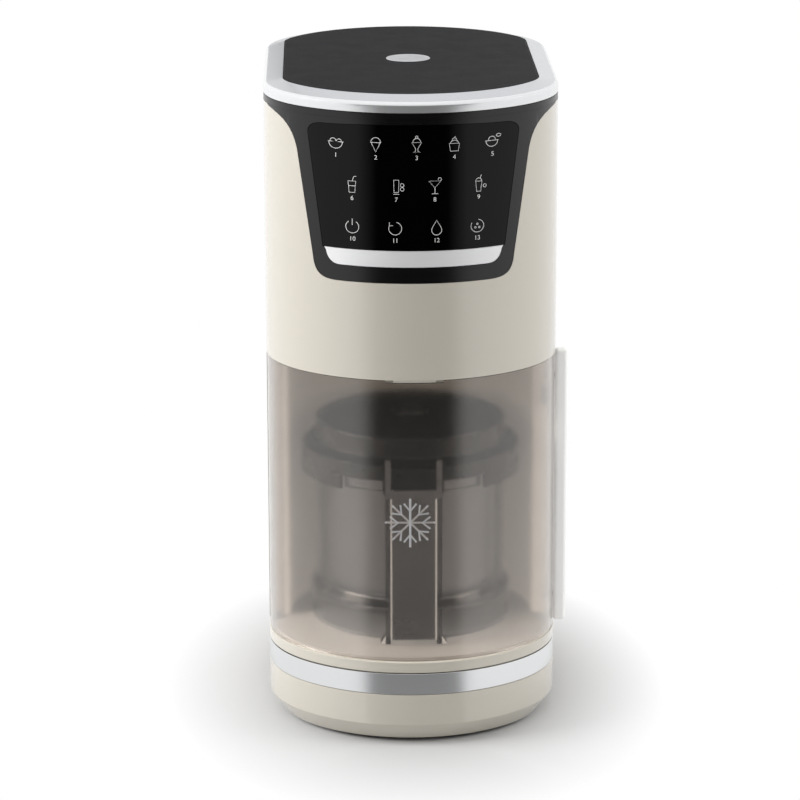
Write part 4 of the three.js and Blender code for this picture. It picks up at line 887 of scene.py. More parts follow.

# %% [markdown]
# ## Top
# A black gasket lets the lid of the head seem to float. It stands right on the panel, which is as
# black, so the two read as one. The silver rim has an upright edge, a small roll, and a slope that
# climbs to the plate, whose plan is squarer than the body's. Bridging the two plans gives that
# changing slope for nothing. The roll catches the light, and the slope is painted a tone greyer beside
# it as painted shade, so the slope has a finish of its own. The plate is brushed from front to back,
# and the plain disc in its middle is turned.

# %% Levels of the top
RIM_BOTTOM, PLATE_TOP = levels("top_rim")
RIM_EDGE = PLATE_TOP - 3.2 * MM
print("rim", round(RIM_BOTTOM, 4), "plate", round(PLATE_TOP, 4))

# %% Gasket
ALL_ROUND = 0.2
gasket = wall("neck_gasket_band", 0.1 * MM, 5 * MM, GASKET_LOW - MM, RIM_BOTTOM - SEAM)
round_edges(gasket, 0.3 * MM, 2)
cut(gasket, box("below_gasket", -ALL_ROUND, ALL_ROUND, -ALL_ROUND, ALL_ROUND, 0, GASKET_LOW))
install(gasket, "neck_gasket", finish=finishes["bezel_black"])

# %% Rim
ROLL = 3 * MM
ROLL_FOOT = RIM_EDGE - 2.55 * MM
ROLL_DEGREES = range(0, 73, 12)
LEDGE = 4 * MM
roll = []
for degree in ROLL_DEGREES:
    inset = ROLL * (1 - cos(radians(degree)))
    roll.append((BODY, inset, ROLL_FOOT + ROLL * sin(radians(degree))))
rim = skin(
    "top_rim_satin",
    (BODY, 0, RIM_BOTTOM),
    *roll,
    (PLATE, -SEAM, PLATE_TOP),
    (PLATE, -SEAM, PLATE_TOP - WALL - SEAM),
    (PLATE, LEDGE, PLATE_TOP - WALL - SEAM),
    (PLATE, LEDGE, RIM_BOTTOM),
    (BODY, 0, RIM_BOTTOM),
)
round_edges(rim, 0.3 * MM, 3, 40)
rim_satin = drifting("rim_satin", (236, 237, 238), 0.24, 0.26, 1800, (5, 1, 1), 0.7, ROUND_THE_BODY)
install(rim, "top_rim", finish=rim_satin)

# %% Greyer finish on the slope of the rim, as painted shade
SLOPE_FOOT = RIM_EDGE + 0.3 * MM
# Painted shade: on the faces that look up, the slope is a greyer copy of the rim's satin.
rim_slope_painted_shade = drifting("rim_slope_painted_shade", (208, 210, 213), 0.24, 0.26, 1800, (5, 1, 1), 1.0, ROUND_THE_BODY)
refinish(rim, rim_slope_painted_shade, lambda face: face.normal.z > 0.9 and face.center.z > SLOPE_FOOT)

# %% Plate with a seat for the disc
SEAT_RADIUS = 14.8 * MM
SEAT_LEVEL = PLATE_TOP - 0.8 * MM
ABOVE_PLATE = 0.44
plate = close_ends(
    skin(
        "top_plate_brushed",
        (PLATE, 0, PLATE_TOP - WALL),
        (PLATE, 0, PLATE_TOP - 0.7 * MM),
        (PLATE, 0.25 * MM, PLATE_TOP - 0.2 * MM),
        (PLATE, 0.8 * MM, PLATE_TOP),
    )
)
seat = [(0, SEAT_LEVEL), (SEAT_RADIUS, SEAT_LEVEL), (SEAT_RADIUS, ABOVE_PLATE), (0, ABOVE_PLATE)]
cut(plate, turned("disc_seat", seat))
install(plate, "top_plate")

# %% Disc
DISC_LOW, DISC_HIGH = levels("top_badge")
DISC_RADIUS = 14.5 * MM
DISC_FACE = DISC_HIGH - 0.12 * MM
disc = turned(
    "top_disc",
    [
        (0, DISC_LOW),
        (DISC_RADIUS, DISC_LOW),
        (DISC_RADIUS, DISC_HIGH, 0.3 * MM),
        (DISC_RADIUS - 1.1 * MM, DISC_HIGH, 0.05 * MM),
        (DISC_RADIUS - 1.3 * MM, DISC_FACE, 0.05 * MM),
        (0, DISC_FACE),
    ],
)
disc_finish = drifting("satin_disc", (214, 215, 217), 0.32, 0.4, 300, (200, 6, 4), 0.45)
install(disc, "top_badge", finish=disc_finish)

# %% [markdown]
# ## Smoked door
# The door is a piece of the same wall as the body, a little set in, so its face runs on from the
# head's. Its left edge grows into a barrel for the hinge pins, and a notch at the top goes round the
# catch. The pull is a bar with rounded edges that stands out at the right. It is satin, and a faint
# painted glow on it stands in for the light that its pale plastic takes in and gives back all over.

# %% Door
DOOR_LOW, DOOR_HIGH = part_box("door_panel")
HINGE_RADIUS = 4.5 * MM
DOOR_INSET = 0.6 * MM
NOTCH_HALF = 18.5 * MM
NOTCH_DEPTH = 1.6 * MM

door = wall("door_smoked", DOOR_INSET, DOOR_INSET + WALL, DOOR_LOW.z, DOOR_HIGH.z)
HINGE_X = -HALF_WIDTH + 5.1 * MM
HINGE_Y = COLUMN_FRONT - 5.5 * MM
room = box("right_part", HINGE_X, ASIDE, AHEAD, COLUMN_FRONT - 1.5 * MM, 0, OVERHEAD)
keep(door, add(room, box("left_part", -ASIDE, HINGE_X + MM, AHEAD, HINGE_Y, 0, OVERHEAD)))
barrel = turned(
    "barrel",
    [(0, DOOR_LOW.z), (HINGE_RADIUS, DOOR_LOW.z), (HINGE_RADIUS, DOOR_HIGH.z), (0, DOOR_HIGH.z)],
    HINGE_X,
    HINGE_Y,
    32,
)
add(door, barrel)
notch_back = -0.1
cut(door, box("notch", -NOTCH_HALF, NOTCH_HALF, AHEAD, notch_back, DOOR_HIGH.z - NOTCH_DEPTH, OVERHEAD))
round_edges(door, 0.5 * MM, 3, 50)
install(door, "door_panel")

# %% Pull
PULL_LOW, PULL_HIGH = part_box("door_pull")
# Painted light: a faint white glow on the pull stands in for room light, though the pull is no lamp.
PULL_PAINTED_GLOW = 0.2
pull_sides = (PULL_LOW.x - MIDDLE, PULL_HIGH.x - MIDDLE)
pull = box("door_pull_bar", *pull_sides, PULL_LOW.y, PULL_HIGH.y, PULL_LOW.z, PULL_HIGH.z)
round_edges(pull, 2.4 * MM, 6, 60)
painted_glow_white = {"Emission_Color": (1, 1, 1, 1), "Emission_Strength": PULL_PAINTED_GLOW}
satin = drifting("satin_pull_painted_glow", (246, 246, 244), 0.38, 0.42, 120, (5, 1, 0), **painted_glow_white)
install(pull, "door_pull", finish=satin)

# %% [markdown]
# ## Bay
# The bay is a round niche. Its back wall is an arc with a flange at each side, drawn from above and
# pulled up, then given its thickness outwards. The floor follows the nose at the front and the niche
# at the back, and a low hub in its middle centres the bowl. Light that bounces about behind the door
# is costly to trace, so a faint glow on the back wall stands in for it, strongest at the foot.

# %% Back wall of the bay
POT_LOW, POT_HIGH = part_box("inner_pot")
AXIS_Y = (POT_LOW.y + POT_HIGH.y) / 2
BAY_RADIUS = HALF_WIDTH - 13 * MM
LINER_WALL = 2.5 * MM
ARC_STEPS = 64
start = asin((COLUMN_FRONT - AXIS_Y) / BAY_RADIUS)
flange = HALF_WIDTH - WALL - SEAM
arc = [(MIDDLE + flange, COLUMN_FRONT)]
for step in range(ARC_STEPS + 1):
    angle = start + (pi - 2 * start) * step / ARC_STEPS
    arc.append((MIDDLE + BAY_RADIUS * cos(angle), AXIS_Y + BAY_RADIUS * sin(angle)))
arc.append((MIDDLE - flange, COLUMN_FRONT))
liner = trace("bay_back_wall", [(x, y, COLUMN_BOTTOM) for x, y in arc], closed=False)
draw_out(0, 0, COLUMN_TOP - COLUMN_BOTTOM)
leave()
middle_face = max(liner.data.polygons, key=lambda face: face.center.y)
if middle_face.normal.y > 0:
    edit(liner)
    bpy.ops.mesh.flip_normals()
    leave()
modify(liner, "SOLIDIFY", thickness=LINER_WALL, offset=-1, use_even_offset=True)
tidy(liner)
round_edges(liner, 0.4 * MM, 3, 35)

# %% Finish of the back wall
GLOW_AT_FOOT = 0.14
GLOW_AT_TOP = 0.03
warm = light(255, 246, 238)
pale = drifting("pale_bay", (242, 237, 229), 0.49, 0.51, 60, (9, 1, 0), Emission_Color=warm)
glow = spread(pale, along(pale, "Z"), GLOW_AT_FOOT, GLOW_AT_TOP, COLUMN_BOTTOM, COLUMN_TOP)
link(pale, glow, shader_of(pale).inputs["Emission Strength"])
install(liner, "bay_liner", finish=pale)

# %% Floor and hub
FLOOR_LOW, FLOOR_HIGH = levels("bay_floor")
FLOOR_TOP = FLOOR_HIGH - 2 * MM
HUB_RADIUS = 62.5 * MM


def cylinder(name, radius, bottom, top, x=0.0, y=AXIS_Y, steps=96):
    return turned(name, [(0, bottom), (radius, bottom), (radius, top), (0, top)], x, y, steps)


floor_front = block("bay_floor_plate", BODY, 5 * MM, FLOOR_LOW, FLOOR_TOP)
keep(floor_front, box("front_room", -ASIDE, ASIDE, AHEAD, COLUMN_FRONT - SEAM, 0, OVERHEAD))
add(floor_front, cylinder("round", BAY_RADIUS - 0.5 * MM, FLOOR_LOW, FLOOR_TOP))
add(floor_front, cylinder("hub", HUB_RADIUS, FLOOR_TOP - 0.5 * MM, FLOOR_HIGH))
cut(floor_front, cylinder("hinge_room", HINGE_RADIUS + MM, 0, OVERHEAD, HINGE_X, HINGE_Y, 32))
round_edges(floor_front, 0.4 * MM, 2)
floor_pale = drifting("pale_bay_floor", (192, 190, 187), 0.49, 0.51, 60, (9, 1, 0))
install(floor_front, "bay_floor", finish=floor_pale)

# %% [markdown]
# ## Bowl, pot and lid
# The clear bowl and the pot in it are turned like pottery. Four lugs on the bowl stand in windows in
# the lid's skirt and lock it. A ring is turned for them and sawn into sectors. The bowl's grip is a
# channel, open towards the bowl, with a plate at the front and two fins above it, so it is built from
# blocks that are added and cut, and its edges are rounded before it is joined to the bowl. The lid is
# glossy round its sides and dull on top. The collar in it, which holds the blade's hub, is a plain
# ring.

# %% Sizes of the bowl
BOWL_BOTTOM, GRIP_TOP = levels("outer_bowl")
GRIP_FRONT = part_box("outer_bowl")[0].y
BOWL = 62 * MM
BOWL_WALL = 2.5 * MM
BOWL_FOOT = 66 * MM
BOWL_TOP = BOWL_BOTTOM + 112.7 * MM
SHELF = BOWL_BOTTOM + 22.7 * MM
LID_LOW, LID_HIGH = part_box("pot_lid")
SKIRT = (LID_HIGH.x - LID_LOW.x) / 2
SKIRT_INSIDE = SKIRT - 2.3 * MM
SKIRT_BOTTOM = LID_LOW.z
LUG_ANGLES = (-74.5, -130.5, 105.5, 49.5)
WINDOW_SPAN = 25
# Facets that lie on each other are hard to cut, so tools for the bowl's 96 facets have 83.
TOOL_STEPS = 83
print("bowl", round(BOWL_BOTTOM, 4), "to", round(BOWL_TOP, 4), "skirt radius", round(SKIRT, 4))


# %% A sector of a turned ring, sawn off on both sides
def sector(piece, start, end):
    for angle, keep_side in ((start, 1), (end, -1)):
        edit(piece)
        normal = Vector((-sin(radians(angle)), cos(radians(angle)), 0)) * keep_side
        bpy.ops.mesh.bisect(
            plane_co=(MIDDLE, AXIS_Y, 0),
            plane_no=normal,
            use_fill=True,
            clear_inner=True,
            clear_outer=False,
        )
        leave()
    return tidy(piece)


def ring(name, inner, outer, bottom, top, corner=0.0, steps=96):
    corners = [(inner, bottom, corner), (outer, bottom, corner), (outer, top, corner), (inner, top, corner)]
    return turned(name, corners, 0, AXIS_Y, steps)


# %% Grip
GRIP = 18.4 * MM
GRIP_INSIDE = 14.7 * MM
grip = add(
    box("grip", -GRIP, GRIP, GRIP_FRONT, AXIS_Y, BOWL_BOTTOM + MM, SKIRT_BOTTOM - 0.5 * MM),
    box("fins", -GRIP, GRIP, GRIP_FRONT, GRIP_FRONT + 3.4 * MM, SKIRT_BOTTOM - MM, GRIP_TOP),
)
for side in (-1, 1):
    foot = [
        (side * (GRIP - MM), BOWL_BOTTOM + MM),
        (side * (GRIP + 3 * MM), BOWL_BOTTOM + MM),
        (side * (GRIP + 3 * MM), BOWL_BOTTOM + 2 * MM),
        (side * (GRIP - MM), BOWL_BOTTOM + 8 * MM),
    ]
    flare = trace("flare", [(MIDDLE + x, GRIP_FRONT, z) for x, z in foot])
    bpy.ops.mesh.edge_face_add()
    draw_out(0, 8 * MM, 0)
    leave()
    add(grip, tidy(flare))
cut(
    grip,
    box("channel", -GRIP_INSIDE, GRIP_INSIDE, GRIP_FRONT + 2.5 * MM, 0, 0, OVERHEAD),
    box("foot_gap", -GRIP_INSIDE, GRIP_INSIDE, AHEAD, 0, 0, BOWL_BOTTOM + 4 * MM),
    box("fin_gap", -GRIP_INSIDE, GRIP_INSIDE, AHEAD, 0, SKIRT_BOTTOM + 4.7 * MM, OVERHEAD),
)
round_edges(grip, 0.4 * MM, 3, 50)
cut(grip, cylinder("bowl_room", BOWL - MM, 0, OVERHEAD), cylinder("foot_room", BOWL_FOOT - MM, 0, SHELF - MM))

# %% Seams in the front of the grip, where its side walls begin and end
EDGE_INSIDE = GRIP_INSIDE - 0.7 * MM
EDGE_OUTSIDE = GRIP_INSIDE + 0.3 * MM
for x in (-EDGE_OUTSIDE, -EDGE_INSIDE, EDGE_INSIDE, EDGE_OUTSIDE):
    edit(grip)
    bpy.ops.mesh.bisect(plane_co=(MIDDLE + x, 0, 0), plane_no=(1, 0, 0))
    leave()
measure(grip)

# %% Bowl
bowl = turned(
    "bowl_clear",
    [
        (0, SHELF - BOWL_WALL),
        (BOWL_FOOT - BOWL_WALL, SHELF - BOWL_WALL, 4 * MM),
        (BOWL_FOOT - BOWL_WALL, BOWL_BOTTOM, 0.4 * MM),
        (BOWL_FOOT, BOWL_BOTTOM, MM),
        (BOWL_FOOT, SHELF, 2 * MM),
        (BOWL, SHELF + 5 * MM, 2 * MM),
        (BOWL, BOWL_TOP, 0.8 * MM),
        (BOWL - BOWL_WALL, BOWL_TOP, 0.8 * MM),
        (BOWL - BOWL_WALL, SHELF, 4 * MM),
        (0, SHELF),
    ],
    0,
    AXIS_Y,
)
LUG_LOW = SKIRT_BOTTOM + MM
LUG_HIGH = SKIRT_BOTTOM + 8.2 * MM
for angle in LUG_ANGLES:
    lug = ring("lug", BOWL - MM, SKIRT_INSIDE - SEAM, LUG_LOW, LUG_HIGH, 0.6 * MM, TOOL_STEPS)
    add(bowl, sector(lug, angle + 1, angle + WINDOW_SPAN - 1))
add(bowl, grip)
install(bowl, "outer_bowl")

# %% Grip seen from the front, with painted shade and painted highlights
# Its side walls stand edge on there, so they are painted dark as painted shade, and their inner
# edges are painted near white as painted highlights, like a pane's edges that carry light.
grip_front_painted_shade = drifting("grip_front_painted_shade", (110, 109, 110), 0.26, 0.34, 40, Alpha=0.85)
# Painted shade: the front's colour darkens towards the bowl's foot and lightens towards the skirt.
fade = add_node(grip_front_painted_shade, "ShaderNodeValToRGB")
fade.color_ramp.elements[0].color = light(66, 66, 68)
fade.color_ramp.elements[1].color = light(110, 110, 112)
painted_shade_rise = spread(grip_front_painted_shade, along(grip_front_painted_shade, "Z"), 0, 1, BOWL_BOTTOM, SKIRT_BOTTOM)
link(grip_front_painted_shade, painted_shade_rise, fade.inputs["Fac"])
link(grip_front_painted_shade, fade.outputs["Color"], shader_of(grip_front_painted_shade).inputs["Base Color"])
grip_wall_painted_shade = drifting("grip_wall_painted_shade", (40, 40, 41), 0.26, 0.34, 40, (40, 2, 2), Alpha=0.75)
grip_edge_painted_highlight = drifting("grip_edge_painted_highlight", (240, 240, 240), 0.26, 0.34, 40, (40, 6, 4))
for material in (grip_front_painted_shade, grip_wall_painted_shade, grip_edge_painted_highlight):
    bowl.data.materials.append(material)
for face in bowl.data.polygons:
    if face.normal.y > -0.9 or face.center.y > GRIP_FRONT + 0.2 * MM:
        continue
    off_centre = abs(face.center.x - MIDDLE)
    fin = face.center.z > SKIRT_BOTTOM - MM
    if off_centre < EDGE_INSIDE or fin:
        face.material_index = 1
    elif off_centre > GRIP or off_centre < EDGE_OUTSIDE:
        face.material_index = 3
    else:
        face.material_index = 2
counts = [sum(face.material_index == slot for face in bowl.data.polygons) for slot in range(4)]
print(counts, "faces by finish")

# %% Pot
POT_RADIUS = BOWL - BOWL_WALL - 3.5 * MM
POT_WALL = 1.5 * MM
pot = turned(
    "pot_satin",
    [
        (0, POT_LOW.z),
        (POT_RADIUS, POT_LOW.z, 8 * MM),
        (POT_RADIUS, POT_HIGH.z - POT_WALL, 0.6 * MM),
        (BOWL - 0.5 * MM, POT_HIGH.z - POT_WALL, 0.5 * MM),
        (BOWL - 0.5 * MM, POT_HIGH.z, 0.5 * MM),
        (POT_RADIUS - POT_WALL, POT_HIGH.z, 0.8 * MM),
        (POT_RADIUS - POT_WALL, POT_LOW.z + POT_WALL, 6.5 * MM),
        (0, POT_LOW.z + POT_WALL),
    ],
    0,
    AXIS_Y,
)
install(pot, "inner_pot")

# %% Lid with its windows and its tab
LID_TOP = LID_HIGH.z
LID_SEAT = LID_TOP - 22.3 * MM
SHOULDER = LID_SEAT + 2.8 * MM
LID_BAND = 62.8 * MM
LID_HOLE = 12.2 * MM
lid = turned(
    "lid_black_satin",
    [
        (LID_HOLE, LID_TOP - 5 * MM, 0.4 * MM),
        (POT_RADIUS - POT_WALL, LID_TOP - 5 * MM, MM),
        (POT_RADIUS - POT_WALL, LID_SEAT, 0.6 * MM),
        (SKIRT_INSIDE, LID_SEAT, 0.8 * MM),
        (SKIRT_INSIDE, SKIRT_BOTTOM, 0.4 * MM),
        (SKIRT, SKIRT_BOTTOM, 0.6 * MM),
        (SKIRT, SHOULDER + 1.2 * MM, 2.2 * MM),
        (LID_BAND + 0.5 * MM, SHOULDER + 3.4 * MM, 2.4 * MM),
        (LID_BAND, LID_TOP - 2 * MM, 2.2 * MM),
        (LID_BAND - 18 * MM, LID_TOP - 0.3 * MM, 12 * MM),
        (LID_HOLE, LID_TOP, 0.4 * MM),
    ],
    0,
    AXIS_Y,
)
WINDOW_LOW = SKIRT_BOTTOM - MM
WINDOW_HIGH = SKIRT_BOTTOM + 9.5 * MM
for angle in LUG_ANGLES:
    window = ring("window", SKIRT_INSIDE - MM, SKIRT + MM, WINDOW_LOW, WINDOW_HIGH, 0, TOOL_STEPS)
    cut(lid, sector(window, angle, angle + WINDOW_SPAN))
tab = box(
    "tab",
    -GRIP_INSIDE + SEAM,
    GRIP_INSIDE - SEAM,
    GRIP_FRONT + SEAM,
    AXIS_Y - SKIRT_INSIDE + MM,
    SKIRT_BOTTOM + 5 * MM,
    SKIRT_BOTTOM + 19 * MM,
)
round_edges(tab, 0.8 * MM)
cut(tab, cylinder("skirt_room", SKIRT_INSIDE + 0.5 * MM, 0, OVERHEAD))
add(lid, tab)
install(lid, "pot_lid")

# %% Dull top of the lid
dull = drifting("lid_top_matt", (14, 14, 14), 0.55, 0.65, 650, (9, 1, 1), Specular_IOR_Level=0.005)
refinish(lid, dull, lambda face: face.normal.z > 0.6)

# %% Seal
SEAL_LOW, SEAL_HIGH = levels("lid_seal")
seal = ring("lid_seal_ring", POT_RADIUS + 0.5 * MM, BOWL - 1.5 * MM, SEAL_LOW, SEAL_HIGH, 0.4 * MM)
install(seal, "lid_seal")

# %% Collar round the hub of the blade
COLLAR_LOW, COLLAR_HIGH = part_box("blade_collar")
COLLAR_OUTER = (COLLAR_HIGH.x - COLLAR_LOW.x) / 2
COLLAR_INNER = COLLAR_OUTER - 3 * MM
collar = ring("blade_collar_ring", COLLAR_INNER, COLLAR_OUTER, COLLAR_LOW.z, COLLAR_HIGH.z, 0.4 * MM)
install(collar, "blade_collar")

# %% [markdown]
# ## Feet and gland
# Four rubber feet lift the base off the table, and one turned foot is copied to the other three
# places. The bushing at the back, where the cord of such a machine goes in, is turned about an axis
# that points backwards, so its profile is spun about Y.

# %% Feet
FOOT_NODES = ("foot_front_left", "foot_rear_left", "foot_front_right", "foot_rear_right")


def middle_of(node):
    lowest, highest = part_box(node)
    return (lowest + highest) / 2


FOOT_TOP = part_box(FOOT_NODES[0])[1].z
first_place = middle_of(FOOT_NODES[0])
rubber_foot = turned(
    "rubber_foot_1",
    [
        (0, 0),
        (8.4 * MM, 0, 0.8 * MM),
        (9 * MM, BASE_BOTTOM, 0.4 * MM),
        (3 * MM, BASE_BOTTOM),
        (3 * MM, BASE_BOTTOM + 2.8 * MM),
        (3.8 * MM, BASE_BOTTOM + 2.8 * MM, 0.3 * MM),
        (2.4 * MM, FOOT_TOP, 0.3 * MM),
        (0, FOOT_TOP),
    ],
    first_place.x - MIDDLE,
    first_place.y,
    40,
)
feet = [rubber_foot]
for number, node in enumerate(FOOT_NODES[1:], 2):
    offset = middle_of(node) - first_place
    feet.append(copy_of(rubber_foot, f"rubber_foot_{number}", (offset.x, offset.y, 0)))
for foot_piece, node in zip(feet, FOOT_NODES):
    install(foot_piece, node)

# %% Gland
gland_middle = middle_of("cord_gland")
GLAND_LOW, GLAND_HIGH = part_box("cord_gland")
gland_profile = rounded(
    [
        (3.6 * MM, GLAND_LOW.y, 0.4 * MM),
        (7 * MM, GLAND_LOW.y, 0.6 * MM),
        (7 * MM, GLAND_HIGH.y - 1.2 * MM),
        (9 * MM, GLAND_HIGH.y - 1.2 * MM),
        (9 * MM, GLAND_HIGH.y, 0.5 * MM),
        (3.6 * MM, GLAND_HIGH.y, 1.0 * MM),
    ]
)
gland = trace("cord_bushing", [(MIDDLE + p.x, p.y, gland_middle.z) for p in gland_profile])
bpy.ops.mesh.spin(steps=40, angle=2 * pi, center=(MIDDLE, 0, gland_middle.z), axis=(0, 1, 0))
leave()
install(tidy(gland), "cord_gland")

# %% [markdown]
# ## Marks on the glass and on the door
# The symbols are lines of even width. Each is drawn flat, seen from the front, then turned into a
# thin tube, pressed flatter and moved back on to the nose, so it lies in the glass like print. They
# are plain signs of our own for frozen treats and for the machine's four buttons, with bare numbers
# under them.

# %% Pen for line drawings
def stroke(points):
    """Adds a line through (x, z) points to the drawing, in millimetres."""
    bpy.ops.mesh.primitive_plane_add(size=0.01, location=(0, 0, 0))
    bpy.ops.mesh.merge(type="CENTER")
    bpy.ops.transform.translate(value=(points[0][0] * MM, 0, points[0][1] * MM))
    for (x0, z0), (x1, z1) in zip(points, points[1:]):
        draw_out((x1 - x0) * MM, 0, (z1 - z0) * MM)
    bpy.ops.mesh.select_linked()
    bpy.ops.mesh.remove_doubles(threshold=1e-7)


def bow(x, z, radius, start, end, steps=10, squash=1.0):
    points = []
    for step in range(steps + 1):
        angle = radians(start + (end - start) * step / steps)
        points.append((x + radius * cos(angle), z + radius * squash * sin(angle)))
    return points


def nose_y(x, inset):
    """Front of the body at x from its middle."""
    return -(HALF_DEPTH - NOSE_RADIUS) - sqrt((NOSE_RADIUS - inset) ** 2 - x * x)


PRESSED = 0.3


def draw(name, strokes, x, z, thick, inset):
    """Draws the strokes round (x, z), gives them body and lays them on the nose."""
    piece = point(name, 0, 0, 0)
    bpy.ops.mesh.delete(type="VERT")
    for points in strokes:
        stroke(points)
    leave()
    only(piece)
    bpy.ops.object.convert(target="CURVE")
    piece = bpy.context.object
    piece.data.bevel_depth = thick * MM / 2
    piece.data.bevel_resolution = 1
    piece.data.use_fill_caps = True
    bpy.ops.object.convert(target="MESH")
    piece = tidy(bpy.context.object)
    for vertex in piece.data.vertices:
        flat = vertex.co
        vertex.co = (MIDDLE + x + flat.x, nose_y(x + flat.x, inset) + PRESSED * flat.y, z + flat.z)
    return piece


# %% Signs, in millimetres round their middles
CONE = [
    [(-2.2, 0.6), (0, -4), (2.2, 0.6)],
    bow(0, 0.8, 2.4, 0, 180),
    [(-2.6, 0.7), (2.6, 0.7)],
]
SCOOPS = [
    bow(0, 0, 3.4, 180, 360),
    [(-3.8, 0), (3.8, 0)],
    bow(-1.3, 0.2, 1.5, 0, 180),
    bow(1.6, 0.2, 1.2, 0, 180),
]
SUNDAE = [
    [
        (-2.4, 1), (-0.6, -2), (-0.6, -3.4), (-1.8, -3.9), (1.8, -3.9),
        (0.6, -3.4), (0.6, -2), (2.4, 1), (-2.4, 1),
    ],
    bow(0, 1.2, 1.9, 0, 180),
    bow(0, 3.7, 0.6, 0, 360, 8),
]
TUB = [
    [(-2.6, 0), (-1.9, -3.8), (1.9, -3.8), (2.6, 0), (-2.6, 0)],
    bow(0, 0.2, 2.0, 0, 180, squash=0.7),
    bow(0, 1.7, 1.1, 0, 180),
    [(0, 2.8), (0.5, 3.6)],
]
CUP_AND_LEAF = [
    bow(-0.4, 0, 3.0, 180, 360),
    [(-3.8, 0), (3.0, 0)],
    bow(-0.4, 0.3, 1.8, 0, 180),
    bow(3.0, 2.4, 1.2, 20, 380, 10, 0.6),
]
TUMBLER = [
    [(-1.9, 1.8), (-1.4, -3.9), (1.4, -3.9), (1.9, 1.8), (-1.9, 1.8)],
    [(-1.7, -0.6), (1.7, -0.6)],
    [(0.2, 1.8), (0.9, 4.1), (2.1, 4.3)],
]
TALL_GLASS = [
    [(-1.3, 3.2), (-1.1, -3.0), (1.1, -3.0), (1.3, 3.2), (-1.3, 3.2)],
    [(-1.4, -3.9), (1.4, -3.9)],
    bow(2.9, 0.6, 0.9, 0, 360, 10),
    bow(2.9, -1.4, 0.9, 0, 360, 10),
]
STEMMED = [
    [(-3, 2.6), (3, 2.6), (0, -0.8), (-3, 2.6)],
    [(0, -0.8), (0, -3.6)],
    [(-1.6, -3.8), (1.6, -3.8)],
    bow(2.4, 3.4, 0.8, -60, 200, 8),
]
SHAKE = [
    [(-1.6, 1.2), (-1.0, -3.9), (1.0, -3.9), (1.6, 1.2), (-1.6, 1.2)],
    bow(0, 1.3, 1.5, 0, 180),
    [(0.6, 2.6), (1.3, 4.3)],
    bow(3.0, -1.2, 0.8, 0, 360, 10),
]
POWER = [
    bow(0, 0, 3.2, 125, 415, 18),
    [(0, 0.8), (0, 4.0)],
]
AGAIN = [
    bow(0, 0, 3.2, 150, 440, 18),
    [(-2.8, 3.2), (-2.9, 1.3), (-1.2, 1.5)],
]
DROP = [
    [(0, 4), (-1.9, 0.9)] + bow(0, -0.9, 2.5, 145, 395, 14) + [(1.9, 0.9), (0, 4)],
]
BITS = [
    bow(0, 0, 3.2, 150, 440, 18),
    bow(-1.0, -0.8, 0.45, 0, 360, 6),
    bow(1.0, -0.8, 0.45, 0, 360, 6),
    bow(0, 0.9, 0.45, 0, 360, 6),
]

# %% Signs on the glass, with a number under each
print_white = drifting("print_white", (240, 240, 238), 0.42, 0.6, 300, (500, 6, 4))
GLASS_FACE = 0.12 * MM
NUMBER_SIZE = 4.0 * MM
HALF_A_DIGIT = 0.35 * NUMBER_SIZE
DIGIT_THICK = 0.05 * MM
SIGN_SCALE = 1.27
SIGN_LINE = 0.4
# A row is (height, drop to its numbers in mm, places across in mm, signs).
ROWS = (
    (0.3975, 8.4, (-49.0, -24.1, 1.4, 25.0, 49.3), (SCOOPS, CONE, SUNDAE, TUB, CUP_AND_LEAF)),
    (0.3709, 8.4, (-39.0, -11.4, 12.8, 40.5), (TUMBLER, TALL_GLASS, STEMMED, SHAKE)),
    (0.3440, 7.6, (-38.9, -12.1, 13.9, 39.7), (POWER, AGAIN, DROP, BITS)),
)


def lay(piece, name, node):
    piece.name = name
    smooth(piece, 60)
    measure(piece)
    dress(piece, node, print_white)


number = 0
for height, drop, places, signs in ROWS:
    for x, sign in zip(places, signs):
        number += 1
        larger = [[(px * SIGN_SCALE, pz * SIGN_SCALE) for px, pz in line] for line in sign]
        lay(draw("sign", larger, x * MM, height, SIGN_LINE, GLASS_FACE), f"sign_{number}", "touch_glass")
        bpy.ops.object.text_add(location=(0, 0, 0))
        digits = bpy.context.object
        digits.data.body = str(number)
        digits.data.size = NUMBER_SIZE
        digits.data.align_x = "CENTER"
        digits.data.extrude = DIGIT_THICK
        bpy.ops.object.convert(target="MESH")
        digits = tidy(bpy.context.object)
        for vertex in digits.data.vertices:
            flat = vertex.co.copy()
            place_x = x * MM + flat.x
            place_z = height - drop * MM - HALF_A_DIGIT + flat.y
            vertex.co = (MIDDLE + place_x, nose_y(place_x, GLASS_FACE) + 0.02 * MM - flat.z, place_z)
        lay(digits, f"number_{number}", "touch_glass")
print(number, "signs with numbers")

# %% [markdown]
# ### Frost star
# The door carries a printed frost star of eight arms. Four bars cross in its middle, and one branch
# is turned to the eight ends of the bars before the drawing is laid on the door.

# %% Frost star
ARM_REACH = 16.2
BRANCH = [(-4.0, 12.9), (0, 7.8), (4.0, 12.9)]
STAR_ASIDE = -3 * MM
STAR_HEIGHT = 0.1513
STAR_LINE = 1.5
STAR_FACE = DOOR_INSET + 0.02 * MM


def turned_line(points, angle):
    c, s = cos(radians(angle)), sin(radians(angle))
    return [(x * c - z * s, x * s + z * c) for x, z in points]


star_lines = [turned_line([(0, -ARM_REACH), (0, ARM_REACH)], 45 * bar) for bar in range(4)]
star_lines += [turned_line(BRANCH, 45 * arm) for arm in range(8)]
star = draw("frost_star", star_lines, STAR_ASIDE, STAR_HEIGHT, STAR_LINE, STAR_FACE)
star_print = drifting("star_print", (200, 200, 202), 0.35, 0.45, 300, (60, 8, 6), 0.3)
smooth(star, 60)
dress(star, "door_panel", star_print)
measure(star)

